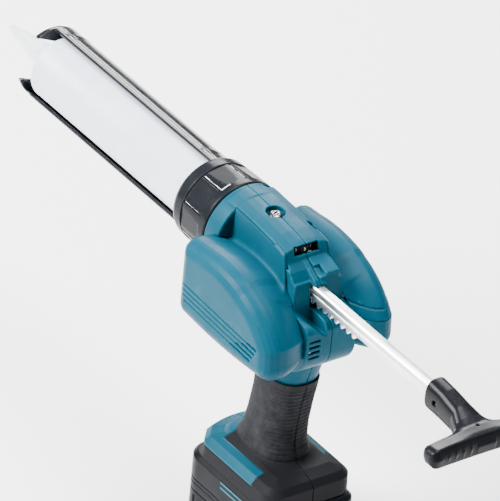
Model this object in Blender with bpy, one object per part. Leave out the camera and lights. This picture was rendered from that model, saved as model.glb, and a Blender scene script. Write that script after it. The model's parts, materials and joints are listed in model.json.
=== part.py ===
"""Cordless caulking gun with a half-open cartridge holder, built as separate pieces.

All measures are in millimetres in the gun's own station frame: x runs forward from the front rim
of the body, y to the left, z up from the axis of the cartridge. finish() turns them into metres
in the part's frame, whose origin is at the middle of the battery's underside.
"""
import math

import bpy
import bmesh
from mathutils import Matrix, Vector

MM = 0.001
GAP = 0.3                      # clearance between pieces that touch
AXIS_HEIGHT = 232.0            # cartridge axis above the battery's underside
RIM_X = 60.0                   # body's front rim ahead of the battery's middle

# cartridge, a standard 310 ml tube
CARTRIDGE_R = 24.75
CARTRIDGE_WALL = 1.5
CARTRIDGE_BACK = 26.0
CARTRIDGE_SHOULDER = 235.0
CARTRIDGE_FRONT = 240.5

# holder and collar
HOLDER_R = 28.5
HOLDER_WALL = 1.3
HOLDER_BACK = 8.0
HOLDER_FRONT = 246.0
HOLDER_OPEN_AT = math.radians(21)      # the open side faces left and a little up
HOLDER_HALF_OPENING = math.radians(70)
COLLAR_FRONT = 41.5

# rack and pinion
TOOTH_PITCH = 7.07
PINION_TEETH = 8
PINION_R = PINION_TEETH * TOOTH_PITCH / (2 * math.pi)
ADDENDUM = 1.8
DEDENDUM = 2.2
RACK_TOP = 3.0
RACK_ROOT = -7.1
RACK_PITCH_LINE = RACK_ROOT - DEDENDUM
RACK_HALF_WIDTH = 4.0
RACK_FRONT = 120.0
RACK_BACK = -252.0
HANDLE_PIN = (-246.0, -2.2)    # x and z of the pin that holds the handle
CROSSBAR_X = -288.0
CROSSBAR_Z = -8.4
TEETH_BACK = -149.0
TEETH_FRONT = 52.0
PISTON_R = 22.3

# gear train: every shaft runs across the gun
PINION_X = -58.0
PINION_Z = RACK_PITCH_LINE - PINION_R
MOTOR_X = -29.9
MOTOR_Z = -32.0
SPUR_MODULE = 1.25
DRIVE_TEETH = 36
OUTPUT_TEETH = 14
PLANET_MODULE = 0.7
SUN_TEETH = 10
PLANET_TEETH = 14
RING_TEETH = SUN_TEETH + 2 * PLANET_TEETH

# body
WALL = 2.6
CORE_HALF = 30.0               # half width of the casing between the two drums
RIDGE_HALF = 18.7              # half width of the ridge over the rack
DRUM_LEFT = 59.0               # outer face of the motor drum
DRUM_RIGHT = 54.0
SHELF_Z = 6.2
BATTERY_TOP = -172.5
BATTERY_BOTTOM = -AXIS_HEIGHT
HOUSING_SCREWS = (             # x and z of each screw
    (-104.0, -30.0), (-62.0, -54.0), (-64.0, -112.0), (-101.0, -160.6), (-32.0, -160.6))
SCREW_X = -37.0                # the top screw
TRIGGER_AT = (-46.0, -66.0)    # x and z of the trigger's pin
BUTTON_AT = (-66.0, -70.0)     # x and z of the lock-off button
LATCH_DEPTH = 12.0             # height of the battery's latch
LATCH_TRAVEL = 3.0             # how far it is pressed down


# ---------------------------------------------------------------- materials

def make_material(name, colour, roughness, metallic=0.0):
    material = bpy.data.materials.new(name)
    material.use_nodes = True
    shader = material.node_tree.nodes["Principled BSDF"]
    shader.inputs["Base Color"].default_value = (*colour, 1.0)
    shader.inputs["Roughness"].default_value = roughness
    shader.inputs["Metallic"].default_value = metallic
    material.diffuse_color = (*colour, 1.0)
    return material


def make_materials():
    return {
        "teal": make_material("teal_plastic", (0.02, 0.27, 0.34), 0.45),
        "rubber": make_material("black_rubber", (0.02, 0.021, 0.024), 0.7),
        "black": make_material("black_plastic", (0.025, 0.027, 0.032), 0.4),
        "paint": make_material("black_painted_steel", (0.02, 0.021, 0.024), 0.25, 0.3),
        "white": make_material("white_plastic", (0.8, 0.84, 0.88), 0.35),
        "clear": make_material("clear_plastic", (0.86, 0.9, 0.93), 0.2),
        "steel": make_material("bright_steel", (0.62, 0.64, 0.66), 0.3, 1.0),
        "chrome": make_material("chrome", (0.8, 0.8, 0.82), 0.1, 1.0),
        "gear": make_material("gear_steel", (0.35, 0.35, 0.37), 0.4, 1.0),
        "brass": make_material("brass", (0.65, 0.45, 0.18), 0.35, 1.0),
        "copper": make_material("motor_copper", (0.6, 0.25, 0.1), 0.4, 0.9),
        "board": make_material("board_green", (0.02, 0.16, 0.06), 0.6),
        "cell": make_material("cell_wrap", (0.08, 0.16, 0.32), 0.5),
    }


# ---------------------------------------------------------------- mesh helpers

def new_object(name, bm):
    """An object in millimetres from a bmesh, with its faces turned outwards."""
    bmesh.ops.recalc_face_normals(bm, faces=bm.faces)
    mesh = bpy.data.meshes.new(name)
    bm.to_mesh(mesh)
    bm.free()
    obj = bpy.data.objects.new(name, mesh)
    bpy.context.scene.collection.objects.link(obj)
    return obj


def loft(rings, name="loft"):
    """A closed solid through rings of equally many points, with flat ends."""
    bm = bmesh.new()
    loops = [[bm.verts.new(p) for p in ring] for ring in rings]
    count = len(loops[0])
    for near, far in zip(loops, loops[1:]):
        for i in range(count):
            j = (i + 1) % count
            bm.faces.new((near[i], near[j], far[j], far[i]))
    bm.faces.new(loops[0])
    bm.faces.new(loops[-1])
    return new_object(name, bm)


def axis_point(axis, along, u, v):
    """A point at a distance along an axis, with u and v across it in x, y, z order."""
    if axis == "X":
        return (along, u, v)
    if axis == "Y":
        return (u, along, v)
    return (u, v, along)


def prism(outline, axis, low, high, name="prism"):
    """An outline of (u, v) points, extruded along an axis."""
    return loft([[axis_point(axis, along, u, v) for u, v in outline] for along in (low, high)], name)


def circle(radius, count, u=0.0, v=0.0, start=0.0):
    turn = 2 * math.pi / count
    return [(u + radius * math.cos(start + turn * i), v + radius * math.sin(start + turn * i))
            for i in range(count)]


def turned(profile, axis="X", centre=(0.0, 0.0), count=48, name="turned"):
    """A solid of revolution through (along, radius) stations, flat at both ends."""
    rings = []
    for along, radius in profile:
        rings.append([axis_point(axis, along, u, v) for u, v in circle(radius, count, *centre)])
    return loft(rings, name)


def turned_ring(profile, axis="X", centre=(0.0, 0.0), count=48, name="ring"):
    """A ring of revolution: the (along, radius) profile is a closed loop clear of the axis."""
    bm = bmesh.new()
    loops = []
    for along, radius in profile:
        points = [axis_point(axis, along, u, v) for u, v in circle(radius, count, *centre)]
        loops.append([bm.verts.new(p) for p in points])
    for k, near in enumerate(loops):
        far = loops[(k + 1) % len(loops)]
        for i in range(count):
            j = (i + 1) % count
            bm.faces.new((near[i], near[j], far[j], far[i]))
    return new_object(name, bm)


def tube(axis, centre, outer, inner, low, high, count=48, name="tube"):
    return turned_ring([(low, outer), (high, outer), (high, inner), (low, inner)], axis, centre, count, name)


def rod(axis, centre, radius, low, high, count=32, name="rod"):
    return turned([(low, radius), (high, radius)], axis, centre, count, name)


def block(x, y, z, bevel=0.0, segments=2):
    """A box between (low, high) pairs, with rounded edges where bevel isn't 0."""
    outline = [(x[0], y[0]), (x[1], y[0]), (x[1], y[1]), (x[0], y[1])]
    obj = prism(outline, "Z", z[0], z[1])
    return rounded(obj, bevel, segments) if bevel else obj


def apply_modifiers(obj):
    depsgraph = bpy.context.evaluated_depsgraph_get()
    mesh = bpy.data.meshes.new_from_object(obj.evaluated_get(depsgraph))
    obj.modifiers.clear()
    old = obj.data
    obj.data = mesh
    bpy.data.meshes.remove(old)
    return obj


def rounded(obj, width, segments=2, angle=30.0):
    """Rounds the edges that are sharper than an angle."""
    bevel = obj.modifiers.new("Bevel", "BEVEL")
    bevel.width = width
    bevel.segments = segments
    bevel.limit_method = "ANGLE"
    bevel.angle_limit = math.radians(angle)
    return apply_modifiers(obj)


def boolean(obj, tool, operation):
    """Applies an exact Boolean and drops the tool."""
    modifier = obj.modifiers.new("Boolean", "BOOLEAN")
    modifier.solver = "EXACT"
    modifier.operation = operation
    modifier.object = tool
    apply_modifiers(obj)
    bpy.data.objects.remove(tool)
    return obj


def join(obj, *tools):
    for tool in tools:
        boolean(obj, tool, "UNION")
    return obj


def cut(obj, *tools):
    for tool in tools:
        boolean(obj, tool, "DIFFERENCE")
    return obj


def keep(obj, tool):
    return boolean(obj, tool, "INTERSECT")


def mirror(obj):
    """Turns a left piece into the right one."""
    obj.data.transform(Matrix.Scale(-1.0, 4, (0.0, 1.0, 0.0)))
    obj.data.flip_normals()
    return obj


def finish(obj, name, material, pivot=(0.0, 0.0, 0.0)):
    """Names a piece, cleans its mesh, and places it in metres with its origin on its pivot."""
    bm = bmesh.new()
    bm.from_mesh(obj.data)
    bmesh.ops.remove_doubles(bm, verts=bm.verts, dist=0.0005)
    bmesh.ops.dissolve_degenerate(bm, edges=bm.edges, dist=0.0005)
    bm.to_mesh(obj.data)
    bm.free()
    obj.data.transform(Matrix.Scale(MM, 4) @ Matrix.Translation(-Vector(pivot)))
    obj.location = (Vector(pivot) + Vector((RIM_X, 0.0, AXIS_HEIGHT))) * MM
    obj.data.materials.clear()
    obj.data.materials.append(material)
    obj.data.shade_smooth()
    obj.data.set_sharp_from_angle(angle=math.radians(32))
    obj.name = name
    obj.data.name = name
    return obj


# ---------------------------------------------------------------- outlines

def superellipse(half_u, half_v, power, count=40):
    points = []
    for i in range(count):
        angle = 2 * math.pi * (i + 0.5) / count
        c, s = math.cos(angle), math.sin(angle)
        u = half_u * math.copysign(abs(c) ** (2 / power), c)
        v = half_v * math.copysign(abs(s) ** (2 / power), s)
        points.append((u, v))
    return points


def arc(cx, cy, radius, start, end, steps):
    """Points on an arc, angles in degrees."""
    points = []
    for i in range(steps + 1):
        angle = math.radians(start + (end - start) * i / steps)
        points.append((cx + radius * math.cos(angle), cy + radius * math.sin(angle)))
    return points


def gear_outline(teeth, module, addendum, dedendum, backlash, phase=0.0):
    """A toothed outline with straight flanks, and thin enough teeth to run freely."""
    pitch_r = teeth * module / 2
    half_pitch = (math.pi * module / 2 - backlash) / 2 / pitch_r
    slope = math.tan(math.radians(20))
    points = []
    for i in range(teeth):
        middle = phase + 2 * math.pi * i / teeth
        root = half_pitch + slope * dedendum / pitch_r
        tip = max(half_pitch - slope * addendum / pitch_r, 0.1 * half_pitch)
        for angle, radius in ((-root, pitch_r - dedendum), (-tip, pitch_r + addendum),
                              (tip, pitch_r + addendum), (root, pitch_r - dedendum)):
            points.append((radius * math.cos(middle + angle), radius * math.sin(middle + angle)))
    return points


def moved(outline, u, v):
    return [(p + u, q + v) for p, q in outline]


def inset(outline, amount):
    """An outline moved inwards by an amount, whichever way round it runs."""
    area = sum(a[0] * b[1] - b[0] * a[1] for a, b in zip(outline, outline[1:] + outline[:1]))
    side = 1.0 if area > 0 else -1.0
    result = []
    for i, point in enumerate(outline):
        before = Vector(point) - Vector(outline[i - 1])
        after = Vector(outline[(i + 1) % len(outline)]) - Vector(point)
        first = Vector((-before.y, before.x)).normalized() * side
        second = Vector((-after.y, after.x)).normalized() * side
        middle = (first + second) / (1.0 + first.dot(second))
        result.append(tuple(Vector(point) + middle * amount))
    return result


# ---------------------------------------------------------------- body shapes

def drum_outline():
    """Side view of a drum: blunt at the front, its back sloping down to the rear."""
    return (arc(-15.0, 1.0, 9.5, 0, 75, 3) + arc(-46.0, -107.0, 120.0, 80, 104, 4)
            + arc(-60.0, -60.0, 70.0, 107, 148, 5) + arc(-107.5, -38.5, 13.0, 168, 262, 6)
            + arc(-60.0, 350.0, 404.0, 265, 275, 3) + arc(-17.0, -40.5, 11.5, 285, 355, 4))


def drum(reach, shrink=0.0, root=CORE_HALF + GAP):
    """The left drum, standing out from the casing, with a chamfered outer edge."""
    if shrink:
        stations = ((root - 1.2, 0.0), (reach - 9.0, 0.6), (reach - 6.0, 2.6), (reach - shrink, 9.0))
    else:
        stations = ((root, 0.0), (reach - 9.0, 0.6), (reach - 7.0, 1.3), (reach - 1.0, 9.0), (reach, 10.4))
    outline = drum_outline()
    rings = [[(u, y, v) for u, v in inset(outline, amount + shrink)] for y, amount in stations]
    return loft(rings)


def drum_place(side):
    """Room for a drum, taken out of the casing where they meet."""
    outline = inset(drum_outline(), -GAP)
    return prism(outline, "Y", *sorted((side * (CORE_HALF + GAP / 2), side * 80.0)))


def ridge_section(x, top, shrink=0.0):
    """Cross-section of the ridge: a crowned top, a crease, and nearly upright sides."""
    crease = top - 2.4
    half = [(RIDGE_HALF + 3.0, 0.0), (RIDGE_HALF + 2.6, 9.0), (RIDGE_HALF + 1.0, crease - 1.4),
            (RIDGE_HALF - 0.4, crease), (RIDGE_HALF * 0.6, top - 0.9), (RIDGE_HALF * 0.25, top - 0.1)]
    outline = half + [(-y, z) for y, z in reversed(half)]
    if shrink:
        outline = inset(outline, shrink)
        outline[0] = (outline[0][0], 0.0 - 2.0)
        outline[-1] = (outline[-1][0], 0.0 - 2.0)
    return [(x, y, z) for y, z in outline]


def ridge(shrink=0.0):
    stations = ((-8.0, 33.2), (-37.0, 32.4), (-60.0, 30.2), (-71.0, 28.4), (-76.5, 27.0))
    rings = [ridge_section(x, top, shrink) for x, top in stations]
    if shrink:
        rings = rings[:-1] + [[(-76.5 + shrink, y, z) for _, y, z in rings[-1]]]
    return loft(rings)


def rear_boss(shrink=0.0):
    """The lower step behind the dial that covers the rack, ending over its exit."""
    rings = []
    for x, top, half in ((-70.0, 17.6, 17.5), (-93.0, 11.8, 16.2), (-96.5, 9.6, 15.6)):
        x_here = max(x, -96.5 + shrink) if shrink else x
        outline = [(-half, -10.0), (-half, top - 2.0), (-half + 2.0, top),
                   (half - 2.0, top), (half, top - 2.0), (half, -10.0)]
        rings.append([(x_here, y, z) for y, z in (inset(outline, shrink) if shrink else outline)])
    return loft(rings)


def core(shrink=0.0):
    """The casing between the drums, with the lower bulge behind the grip."""
    outline = ([(-7.0, 6.5), (-97.0, 6.5), (-98.5, -13.0)] + arc(-106.5, -23.0, 8.5, 95, 170, 4)
               + arc(-92.0, -38.0, 23.0, 178, 262, 7) + [(-84.0, -64.0), (-46.0, -64.0)]
               + arc(-34.0, -36.0, 27.0, 265, 315, 4) + [(-5.0, -36.0)])
    half = CORE_HALF - shrink
    if shrink:
        return prism(inset(outline, shrink), "Y", -half, half)
    return rounded(prism(outline, "Y", -half, half), 3.0, 2, 25)


GRIP_STATIONS = (   # height, back, front, half width
    (-52.0, -99.0, -40.0, 21.0), (-64.0, -96.0, -43.0, 19.5), (-80.0, -91.5, -46.0, 17.6),
    (-100.0, -87.0, -45.0, 17.0), (-122.0, -83.5, -41.0, 17.0), (-138.0, -83.0, -37.0, 17.6),
    (-148.0, -87.0, -31.0, 20.0), (-154.0, -94.0, -25.0, 23.5))


def grip(grow=0.0, low=None, high=None, count=28):
    rings = []
    for z, back, front, half in GRIP_STATIONS:
        if (low is not None and z < low) or (high is not None and z > high):
            continue
        middle, reach = (back + front) / 2, (front - back) / 2
        rings.append([(middle + u, v, z) for u, v in superellipse(reach + grow, half + grow, 2.6, count)])
    return loft(rings)


def foot_section(z, shrink):
    """Rounded plan of the battery foot, its front end bowed."""
    back, front, half, corner = -112.0 + shrink, -8.0 - shrink, 36.5 - shrink, 13.0
    outline = (arc(front - 22, half - 11, 11, 90, 50, 2) + arc(front - 62, 0, 62, 24, -24, 8)
               + arc(front - 22, -half + 11, 11, -50, -90, 2)
               + arc(back + corner, -half + corner, corner, -90, -180, 4)
               + arc(back + corner, half - corner, corner, 180, 90, 4))
    return [(u, v, z) for u, v in outline]


def foot(shrink=0.0):
    rings = [foot_section(z, amount + shrink) for z, amount in
             ((BATTERY_TOP + GAP - (2.0 if shrink else 0.0), 0.0), (-158.0 - shrink, 0.6),
              (-153.5 - shrink, 4.5), (-150.5 - shrink, 12.0))]
    return loft(rings)


def cover_zone(side):
    """What the side cover takes from the casing: the ridge's side wall and the drum's place."""
    outline = [(RIDGE_HALF, 50.0), (80.0, 50.0), (80.0, -80.0), (CORE_HALF + GAP / 2, -80.0),
               (CORE_HALF + GAP / 2, SHELF_Z), (RIDGE_HALF, SHELF_Z)]
    return prism([(side * y, z) for y, z in outline], "X", -76.2, -16.0)


def body_outer():
    """The casing without its drums, as one solid."""
    ring = turned([(0.0, 32.6), (-1.2, 33.6), (-13.0, 34.2), (-15.5, 32.0)], count=48)
    neck = turned([(-1.0, 31.0), (-22.0, 31.0)], count=32)
    return join(ring, neck, ridge(), core(), rear_boss(), grip(), foot())


def body_inner():
    bore = rod("X", (0.0, 0.0), 27.0, -24.0, 4.0, 24)
    seat = rod("X", (0.0, 0.0), 30.7, -3.3, 4.0, 36)
    inner = join(core(WALL), ridge(WALL), rear_boss(WALL), grip(-WALL, count=14), foot(WALL), bore, seat)
    bosses = [rod("Y", (x, z), 3.6, -60, 60, 8) for x, z in HOUSING_SCREWS]
    return cut(inner, *bosses)


def rack_slot():
    return block((-130.0, -60.0), (-5.4, 5.4), (-13.8, 4.2))


def dial_window():
    """The recess and the opening in front of the speed dial."""
    return block((-90.0, -72.0), (-10.6, 10.6), (18.4, 25.2))


def trigger_slot():
    return block((-52.0, -24.0), (-8.2, 8.2), (-99.0, -56.0))


def rail_way():
    """The gap in the foot's front wall that the battery's rails slide out through."""
    return block((-20.0, 0.0), (-24.6, 24.6), (-180.0, -165.3))


def rear_vents(side):
    slots = []
    for row in range(4):
        z = -27.0 - 6.0 * row
        slots.append(block((-125.0, -95.0), tuple(sorted((side * 9.0, side * 20.0))), (z - 1.1, z + 1.1)))
    return slots


def housing(side, name, material):
    """One clamshell half. Its cover is taken out of it, and its inside is open at the seam."""
    obj = cut(body_outer(), body_inner(), cover_zone(side), cover_zone(-side), drum_place(side),
              drum_place(-side), rack_slot(), dial_window(), trigger_slot(), rail_way(),
              rod("Y", TRIGGER_AT, 1.7, -11.0, 11.0, 12))
    cut(obj, rod("Y", (MOTOR_X, MOTOR_Z), 18.4, -40, 40, 24),
        rod("Y", (PINION_X, PINION_Z), 26.0, -40, 0, 24),
        rod("Z", (SCREW_X, 0.0), 5.3, 29.5, 40, 24), rod("Z", (SCREW_X, 0.0), 7.0, 31.2, 40, 32),
        rod("Z", (SCREW_X, 0.0), 1.7, 10, 40, 16),
        rod("Y", BUTTON_AT, 5.3, -40, 40, 24), *rear_vents(1))
    low, high = (GAP / 2, 90.0) if side > 0 else (-90.0, -GAP / 2)
    keep(obj, block((-200.0, 60.0), (low, high), (-200.0, 80.0)))
    cut(obj, *[rod("Y", (x, z), 1.7, -60, 60, 8) for x, z in HOUSING_SCREWS])
    if side < 0:
        cut(obj, *[rod("Y", (x, z), 3.2, -60, -7.4, 12) for x, z in HOUSING_SCREWS])
    return finish(obj, name, material)


def side_cover(side, reach, name, material):
    """A drum and the ridge's side wall in one moulding, open on the inside."""
    inner_y = RIDGE_HALF + GAP
    zone = prism([(inner_y, 50.0), (80.0, 50.0), (80.0, SHELF_Z + GAP), (inner_y, SHELF_Z + GAP)],
                 "X", -75.9, -16.3)
    wall = keep(ridge(), zone)
    shelf = block((-75.9, -16.3), (inner_y, CORE_HALF + 4.0), (SHELF_Z + GAP, 12.0))
    obj = join(drum(reach), shelf, wall)
    cut(obj, drum(reach, WALL), *cover_grooves(reach))
    if side < 0:
        mirror(obj)
    return finish(obj, name, material)


def cover_grooves(reach):
    """Four long grooves low on the drum's flat face; their back ends break through as vents."""
    tools = []
    for row in range(4):
        z = -24.5 - 4.2 * row
        groove = (-104.0 + 2.5 * row, -10.0 - 1.5 * row)
        vent = (-103.0 + 2.5 * row, -94.0 + 2.0 * row)
        tools.append(block(groove, (reach - 0.8, reach + 5.0), (z - 0.6, z + 0.6)))
        tools.append(block(vent, (reach - 9.0, reach + 5.0), (z - 0.9, z + 0.9)))
    return tools


def grip_sleeve(side, name, material):
    """The rubber over one side of the grip and the back of the foot."""
    obj = grip(1.6, low=-150.0, high=-70.0)
    cut(obj, grip(GAP), trigger_slot())
    low, high = (GAP, 90.0) if side > 0 else (-90.0, -GAP)
    keep(obj, block((-200.0, 60.0), (low, high), (-147.5, -80.5)))
    if side < 0:
        cut(obj, *[rod("Y", (x, z), 3.6, -60, -5, 16) for x, z in HOUSING_SCREWS])
    return finish(obj, name, material)


# ---------------------------------------------------------------- casing pieces

def build_casing(mat):
    housing(1, "housing_left", mat["teal"])
    housing(-1, "housing_right", mat["teal"])
    side_cover(1, DRUM_LEFT, "side_cover_left", mat["teal"])
    side_cover(-1, DRUM_RIGHT, "side_cover_right", mat["teal"])
    grip_sleeve(1, "grip_sleeve_left", mat["rubber"])
    grip_sleeve(-1, "grip_sleeve_right", mat["rubber"])
    build_top_screw(mat["chrome"])
    for number, (x, z) in enumerate(HOUSING_SCREWS, 1):
        build_housing_screw(number, x, z, mat["steel"])
    build_barrel_mount(mat["gear"])
    build_rack_guide(mat["gear"])


def build_top_screw(material):
    head = turned([(28.6, 1.3), (29.8, 1.3), (29.8, 4.9), (31.0, 4.9), (31.8, 3.4)], "Z", (SCREW_X, 0.0), 24)
    shank = rod("Z", (SCREW_X, 0.0), 1.3, 20.0, 30.2, 12)
    cross = [block((SCREW_X - 2.6, SCREW_X + 2.6), (-0.6, 0.6), (30.6, 33.0)),
             block((SCREW_X - 0.6, SCREW_X + 0.6), (-2.6, 2.6), (30.6, 33.0))]
    finish(cut(join(head, shank), *cross), "top_screw", material)


def build_housing_screw(number, x, z, material):
    head_y = -9.6
    obj = join(rod("Y", (x, z), 2.8, head_y, head_y + 2.0, 12), rod("Y", (x, z), 1.2, head_y + 1.5, 12.0, 8))
    socket = turned([(head_y - 1.0, 1.2), (head_y + 1.2, 1.2)], "Y", (x, z), 6)
    finish(cut(obj, socket), f"housing_screw_{number}", material)


def build_barrel_mount(material):
    """The fixed hub in the body's mouth. The holder turns on it, and the rack passes through."""
    hub = turned([(-12.0, 26.6), (-3.0, 26.6), (-3.0, 30.3), (0.6, 30.3), (0.6, 26.2), (22.0, 26.2),
                  (23.4, 24.8)], count=36)
    slot = block((-20.0, 40.0), (-4.5, 4.5), (-12.2, 3.5))
    pocket = rod("X", (0.0, 0.0), 23.4, 6.0, 40.0, 28)
    finish(cut(hub, pocket, slot), "barrel_mount", material)


def build_rack_guide(material):
    """A channel over the rack that holds its teeth down on the pinion."""
    guide = block((-88.0, -26.0), (-9.0, 9.0), (-3.0, 8.4), 0.8, 1)
    finish(cut(guide, block((-100.0, 0.0), (-4.35, 4.35), (-10.0, 3.35))), "rack_guide", material)


# ---------------------------------------------------------------- front pieces

def build_collar(mat):
    """The locking collar: a thick ring with flat pads and finger notches."""
    ring = turned_ring([(0.9, 33.4), (39.5, 32.4), (COLLAR_FRONT, 31.4), (COLLAR_FRONT, 29.0),
                        (4.0, 29.0), (4.0, 30.8), (0.9, 30.8)], count=48)
    for k in range(6):
        spin = Matrix.Rotation(math.radians(60 * k + 38), 4, "X")
        notch = block((12.0, 38.0), (-6.5, 6.5), (31.8, 40.0))
        notch.data.transform(spin)
        cut(ring, notch)
    finish(ring, "locking_collar", mat["black"])


def build_holder(mat):
    """A steel tube open along one side, with rolled edges and a notched plate at the front."""
    shell = tube("X", (0.0, 0.0), HOLDER_R, HOLDER_R - HOLDER_WALL, HOLDER_BACK, HOLDER_FRONT, 60)
    plate = turned([(HOLDER_FRONT - 2.2, HOLDER_R - 0.6), (HOLDER_FRONT, HOLDER_R),
                    (HOLDER_FRONT + 1.6, HOLDER_R - 2.4)], count=60)
    join(shell, plate)
    half = HOLDER_HALF_OPENING
    reach = 60.0
    wedge = [(0.0, 0.0), (reach * math.cos(half), -reach * math.sin(half)), (reach * 2, 0.0),
             (reach * math.cos(half), reach * math.sin(half))]
    opening = prism(wedge, "X", COLLAR_FRONT + 0.5, HOLDER_FRONT - 4.0)
    notch = prism([(-1.0, -15.5), (70.0, -19.5), (70.0, 19.5), (-1.0, 15.5)]
                  + arc(-1.0, 0.0, 15.5, 90, 270, 10)[1:-1], "X", HOLDER_FRONT - 10.0, HOLDER_FRONT + 9.0)
    turn = Matrix.Rotation(HOLDER_OPEN_AT, 4, "X")
    opening.data.transform(turn)
    notch.data.transform(turn)
    cut(shell, opening, notch)
    for side in (1, -1):
        angle = HOLDER_OPEN_AT + side * half
        middle = HOLDER_R - HOLDER_WALL / 2
        edge = rod("X", (middle * math.cos(angle), middle * math.sin(angle)), 1.5,
                   COLLAR_FRONT + 0.8, HOLDER_FRONT - 4.4, 10)
        join(shell, edge)
    finish(shell, "cartridge_holder", mat["paint"])


def build_cartridge(mat):
    outer, wall = CARTRIDGE_R, CARTRIDGE_WALL
    tube_body = turned_ring([(CARTRIDGE_BACK, outer), (CARTRIDGE_SHOULDER - 1.5, outer),
                             (CARTRIDGE_SHOULDER, outer - 0.6), (CARTRIDGE_SHOULDER + 3.0, outer - 3.0),
                             (CARTRIDGE_FRONT, 9.0), (CARTRIDGE_FRONT + 12.0, 7.9),
                             (CARTRIDGE_FRONT + 12.0, 5.0), (CARTRIDGE_FRONT - 2.0, 5.0),
                             (CARTRIDGE_SHOULDER, outer - 4.0), (CARTRIDGE_SHOULDER - 4.0, outer - wall),
                             (CARTRIDGE_BACK, outer - wall)], count=40)
    finish(tube_body, "cartridge_tube", mat["white"])
    inner = CARTRIDGE_R - CARTRIDGE_WALL - 0.35
    plunger = turned_ring([(129.0, inner), (143.0, inner), (144.5, inner - 2.0), (144.5, 0.8), (141.5, 0.8),
                           (141.5, inner - 2.2), (129.0, inner - 1.6)], count=28)
    finish(plunger, "cartridge_plunger", mat["white"])
    base = CARTRIDGE_FRONT + 1.2
    nozzle = turned_ring([(base, 12.6), (base + 2.6, 12.6), (base + 4.0, 10.8), (base + 56.0, 2.2),
                          (base + 56.5, 1.3), (base + 14.0, 6.6), (base + 13.0, 8.3), (base, 9.6)], count=28)
    finish(nozzle, "cartridge_nozzle", mat["clear"])


# ---------------------------------------------------------------- rack and handle

def rack_outline():
    """Side view of the rack: square teeth underneath, from the front to a little behind the body."""
    slope = math.tan(math.radians(20))
    half = (TOOTH_PITCH / 2 - 0.5) / 2
    points = [(RACK_BACK, RACK_TOP), (RACK_FRONT, RACK_TOP), (RACK_FRONT, RACK_ROOT)]
    count = int((TEETH_FRONT - TEETH_BACK) / TOOTH_PITCH)
    for i in range(count, -1, -1):
        middle = PINION_X + TOOTH_PITCH * (i - 12)
        root, tip = half + slope * DEDENDUM, half - slope * ADDENDUM
        low = RACK_PITCH_LINE - ADDENDUM
        points += [(middle + root, RACK_ROOT), (middle + tip, low), (middle - tip, low),
                   (middle - root, RACK_ROOT)]
    return points + [(RACK_BACK, RACK_ROOT)]


def build_rack(mat):
    bar = prism(rack_outline(), "Y", -RACK_HALF_WIDTH, RACK_HALF_WIDTH)
    tongue = rod("X", (0.0, 0.0), 3.4, RACK_FRONT - 6.0, RACK_FRONT + 8.0, 16)
    cross_hole = rod("Y", HANDLE_PIN, 2.3, -20, 20, 16)
    bore = rod("X", (0.0, 0.0), 1.6, RACK_FRONT - 2.0, RACK_FRONT + 20.0, 12)
    finish(cut(join(bar, tongue), cross_hole, bore), "rack", mat["steel"])
    piston = turned_ring([(RACK_FRONT + 0.3, PISTON_R - 3.0), (RACK_FRONT + 2.0, PISTON_R),
                          (RACK_FRONT + 6.0, PISTON_R), (RACK_FRONT + 7.8, PISTON_R - 2.0),
                          (RACK_FRONT + 7.8, 3.7), (RACK_FRONT + 0.3, 3.7)], count=28)
    finish(piston, "piston", mat["gear"])
    bolt = join(rod("X", (0.0, 0.0), 5.4, RACK_FRONT + 8.3, RACK_FRONT + 10.4, 6),
                rod("X", (0.0, 0.0), 1.3, RACK_FRONT + 1.0, RACK_FRONT + 9.0, 12))
    finish(bolt, "piston_bolt", mat["steel"])
    build_handle(mat)


def build_handle(mat):
    """A T-handle: an oval stem that takes the end of the rack, and a crossbar behind it."""
    rings = []
    stations = ((-233.5, -2.2, 7.8, 10.6), (-235.0, -2.2, 9.4, 12.4), (-250.0, -3.0, 9.4, 12.0),
                (-266.0, -5.0, 9.8, 11.0), (-275.0, -7.0, 14.0, 9.6), (-282.0, -8.0, 19.0, 8.8),
                (-290.0, CROSSBAR_Z, 20.0, 8.0))
    for x, z, half_y, half_z in stations:
        rings.append([(x, u, z + v) for u, v in superellipse(half_y, half_z, 2.6, 20)])
    stem = loft(rings)
    bar_rings = []
    for y, x, half_x, half_z in crossbar_stations():
        bar_rings.append([(x + u, y, CROSSBAR_Z + v) for u, v in superellipse(half_x, half_z, 2.4, 16)])
    obj = join(stem, loft(bar_rings))
    cut(obj, block((-253.0, -220.0), (-4.3, 4.3), (-7.4, 3.3)), rod("Y", HANDLE_PIN, 2.3, -30, 30, 16))
    finish(obj, "t_handle", mat["black"])
    finish(rod("Y", HANDLE_PIN, 1.9, -7.0, 7.0, 16), "handle_pin", mat["steel"])


def crossbar_stations():
    """(y, x, half depth, half height) along the crossbar, whose ends sweep back a little."""
    half_length, tip = 47.0, 9.0
    stations = []
    for i in range(-8, 9):
        y = half_length * math.sin(math.radians(90) * i / 8)
        edge = max(0.0, (abs(y) - (half_length - tip)) / tip)
        scale = math.sqrt(max(0.0, 1.0 - edge * edge)) if edge < 1.0 else 0.0
        scale = max(scale, 0.25)
        x = CROSSBAR_X - 3.0 * (y / half_length) ** 2
        stations.append((y, x, 9.6 * scale, 8.6 * scale))
    return stations


# ---------------------------------------------------------------- drive pieces

def spur(teeth, module, low, high, centre, bore, backlash=0.3, phase=0.0):
    outline = moved(gear_outline(teeth, module, 0.85 * module, 1.1 * module, backlash, phase), *centre)
    wheel = prism(outline, "Y", low, high)
    return cut(wheel, rod("Y", centre, bore, low - 1, high + 1, 20)) if bore else wheel


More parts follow.
